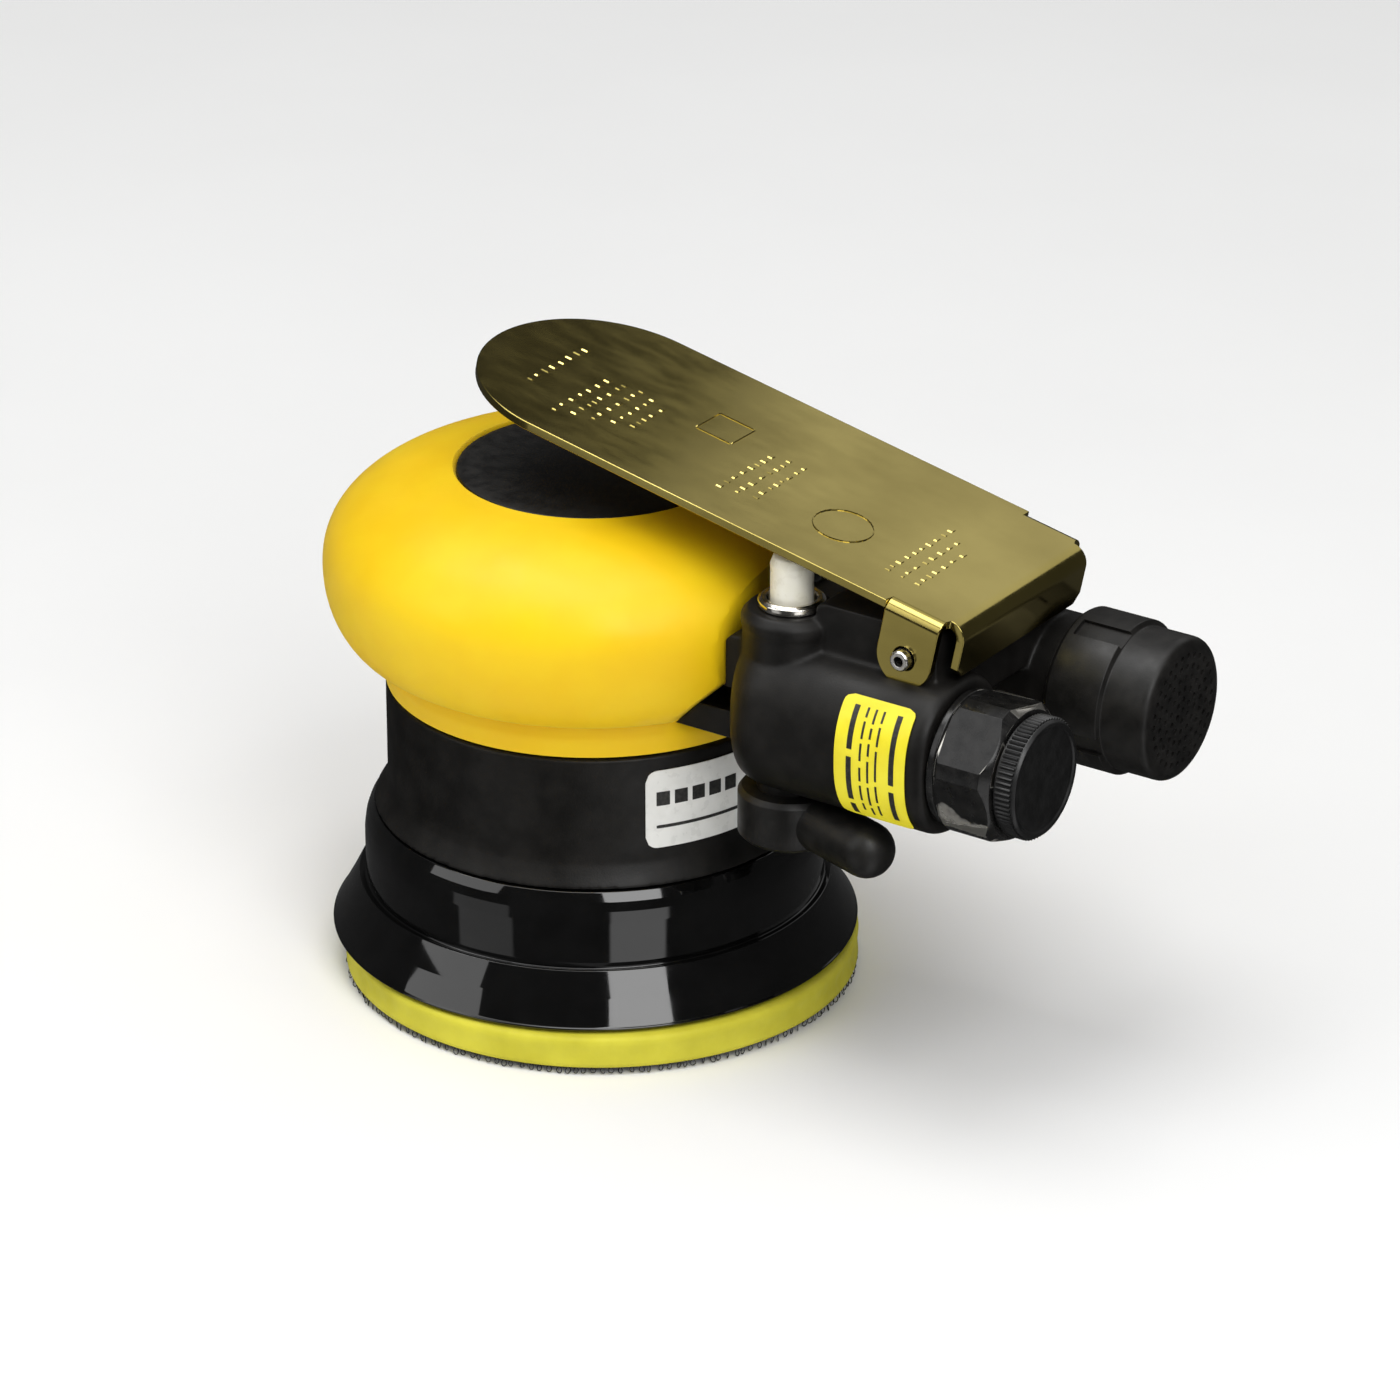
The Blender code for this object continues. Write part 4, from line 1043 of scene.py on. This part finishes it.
KEPT = {
    alloy: ("upper_end_plate", "lower_end_plate", "lock_ring"),
    bright_steel: ("cylinder", "cylinder_pin", "control_ring", "inlet_screen", "valve_spring",
                   "bearing_clip", "pad_stud"),
    bearing: ("upper_bearing_outer", "lower_bearing_outer", "upper_bearing_inner",
              "lower_bearing_inner", "spindle_bearing_outer", "spindle_bearing_inner",
              "rotor_key", "crank_shaft", "spindle"),
    steel_dark: ("rotor",),
    fibre: ("vane_1", "vane_2", "vane_3", "vane_4", "vane_5"),
    nickel: ("valve_seat",),
    seal: ("tip_valve", "stem_o_ring", "inlet_o_ring"),
    plug_plastic: ("muffler_sleeve",),
    felt: ("muffler_insert", "dust_shield"),
    laminate: ("pad_backing",),
}
for material, names in KEPT.items():
    for name in names:
        nodes[name].data.materials.clear()
        nodes[name].data.materials.append(material)

# ------------------------------------------------------------------ floor, lights, camera

floor_paint = surface("floor_paint", (0.94, 0.94, 0.93), 0.8)
mottle(floor_paint, (0.93, 0.93, 0.925), (0.95, 0.95, 0.945), 0.01)
shape = bmesh.new()
bmesh.ops.create_grid(shape, x_segments=1, y_segments=1, size=6.0)
floor = from_bmesh("floor", shape, floor_paint)
floor.visible_glossy = False

AZIMUTH = radians(34.33)
ELEVATION = 24.89               # degrees, as direction() takes it
DISTANCE = 0.93
AIM = metres((9.1, 14.5, 38.0))
LENS = 159.96


def direction(azimuth, elevation):
    """Unit vector towards a point seen `azimuth` degrees right of the camera's own bearing."""
    turn = AZIMUTH + radians(azimuth)
    lift = radians(elevation)
    return Vector((sin(turn) * cos(lift), -cos(turn) * cos(lift), sin(lift)))


def facing(origin, target):
    return (target - origin).to_track_quat("-Z", "Y").to_matrix().to_4x4()


def softbox(name, azimuth, elevation, distance, width, height, power):
    light = bpy.data.lights.new(name, "AREA")
    light.shape = "RECTANGLE"
    light.size = width
    light.size_y = height
    light.energy = power
    lamp = bpy.data.objects.new(name, light)
    bpy.context.scene.collection.objects.link(lamp)
    origin = AIM + direction(azimuth, elevation) * distance
    lamp.matrix_world = Matrix.Translation(origin) @ facing(origin, AIM)
    return lamp


# Bearing and elevation in degrees, then distance, width and height in metres, and watts
softbox("left_box", -70, 34, 1.3, 0.80, 0.90, 3.8)
softbox("front_box", 20, 40, 1.4, 0.62, 0.90, 9.6)
softbox("top_box", -30, 80, 1.5, 0.9, 0.9, 8.2)
# These two show in the lever's metal and add no light to matt surfaces
back_panel = softbox("back_panel", 143, 36, 0.95, 0.70, 0.50, 0.72)
edge_strip = softbox("edge_strip", -115, 65, 1.3, 0.50, 0.50, 3.6)
for reflected_only in (back_panel, edge_strip):
    reflected_only.visible_diffuse = False


world = bpy.data.worlds.new("studio")
bpy.context.scene.world = world
world.use_nodes = True


def world_node(kind, **settings):
    node = world.node_tree.nodes.new(kind)
    for name, value in settings.items():
        setattr(node, name, value)
    return node


def world_math(operation, *values):
    """A Math node fed by numbers or by other nodes' outputs."""
    node = world_node("ShaderNodeMath", operation=operation)
    for socket, value in zip(node.inputs, values):
        if isinstance(value, (int, float)):
            socket.default_value = value
        else:
            world.node_tree.links.new(value, socket)
    return node.outputs["Value"]


def world_step(value, start, end):
    """0 before start and 1 after end, with a smooth change between."""
    node = world_node("ShaderNodeMapRange", interpolation_type="SMOOTHSTEP")
    world.node_tree.links.new(value, node.inputs["Value"])
    node.inputs["From Min"].default_value = start
    node.inputs["From Max"].default_value = end
    return node.outputs["Result"]


def world_window(azimuth, half_width, brightness):
    """A soft upright patch of light below the horizon, as a tabletop mirrors a softbox."""
    turned = world_node("ShaderNodeVectorRotate", rotation_type="Z_AXIS")
    centre = direction(azimuth, 0)
    turned.inputs["Angle"].default_value = -atan2(centre.y, centre.x)
    world.node_tree.links.new(sky.outputs["Generated"], turned.inputs["Vector"])
    parts = world_node("ShaderNodeSeparateXYZ")
    world.node_tree.links.new(turned.outputs["Vector"], parts.inputs["Vector"])
    bearing = world_math("ABSOLUTE", world_math("ARCTAN2", parts.outputs["Y"],
                                                parts.outputs["X"]))
    inside = world_math("SUBTRACT", 1.0, world_step(bearing, radians(half_width - 1),
                                                    radians(half_width + 1)))
    below = world_math("SUBTRACT", 1.0, world_step(parts.outputs["Z"], -0.12, -0.02))
    return world_math("MULTIPLY", world_math("MULTIPLY", inside, below), brightness)


sky = world_node("ShaderNodeTexCoord")
height = world_node("ShaderNodeSeparateXYZ")
world.node_tree.links.new(sky.outputs["Generated"], height.inputs["Vector"])
overhead = world_math("MULTIPLY", world_step(height.outputs["Z"], 0.62, 0.96), 0.85)
windows = world_math("ADD", world_window(-56, 15, 0.42), world_window(22, 14, 1.3))
brightness = world_math("ADD", world_math("ADD", overhead, 0.05), windows)
background = world.node_tree.nodes["Background"]
world.node_tree.links.new(brightness, background.inputs["Strength"])
background.inputs["Color"].default_value = (1, 1, 1, 1)

camera_data = bpy.data.cameras.new("camera")
camera_data.lens = LENS
camera_data.sensor_width = 36
camera = bpy.data.objects.new("camera", camera_data)
bpy.context.scene.collection.objects.link(camera)
spot = AIM + direction(0, ELEVATION) * DISTANCE
camera.matrix_world = Matrix.Translation(spot) @ facing(spot, AIM)
bpy.context.scene.camera = camera
bpy.context.scene.view_settings.view_transform = "Standard"
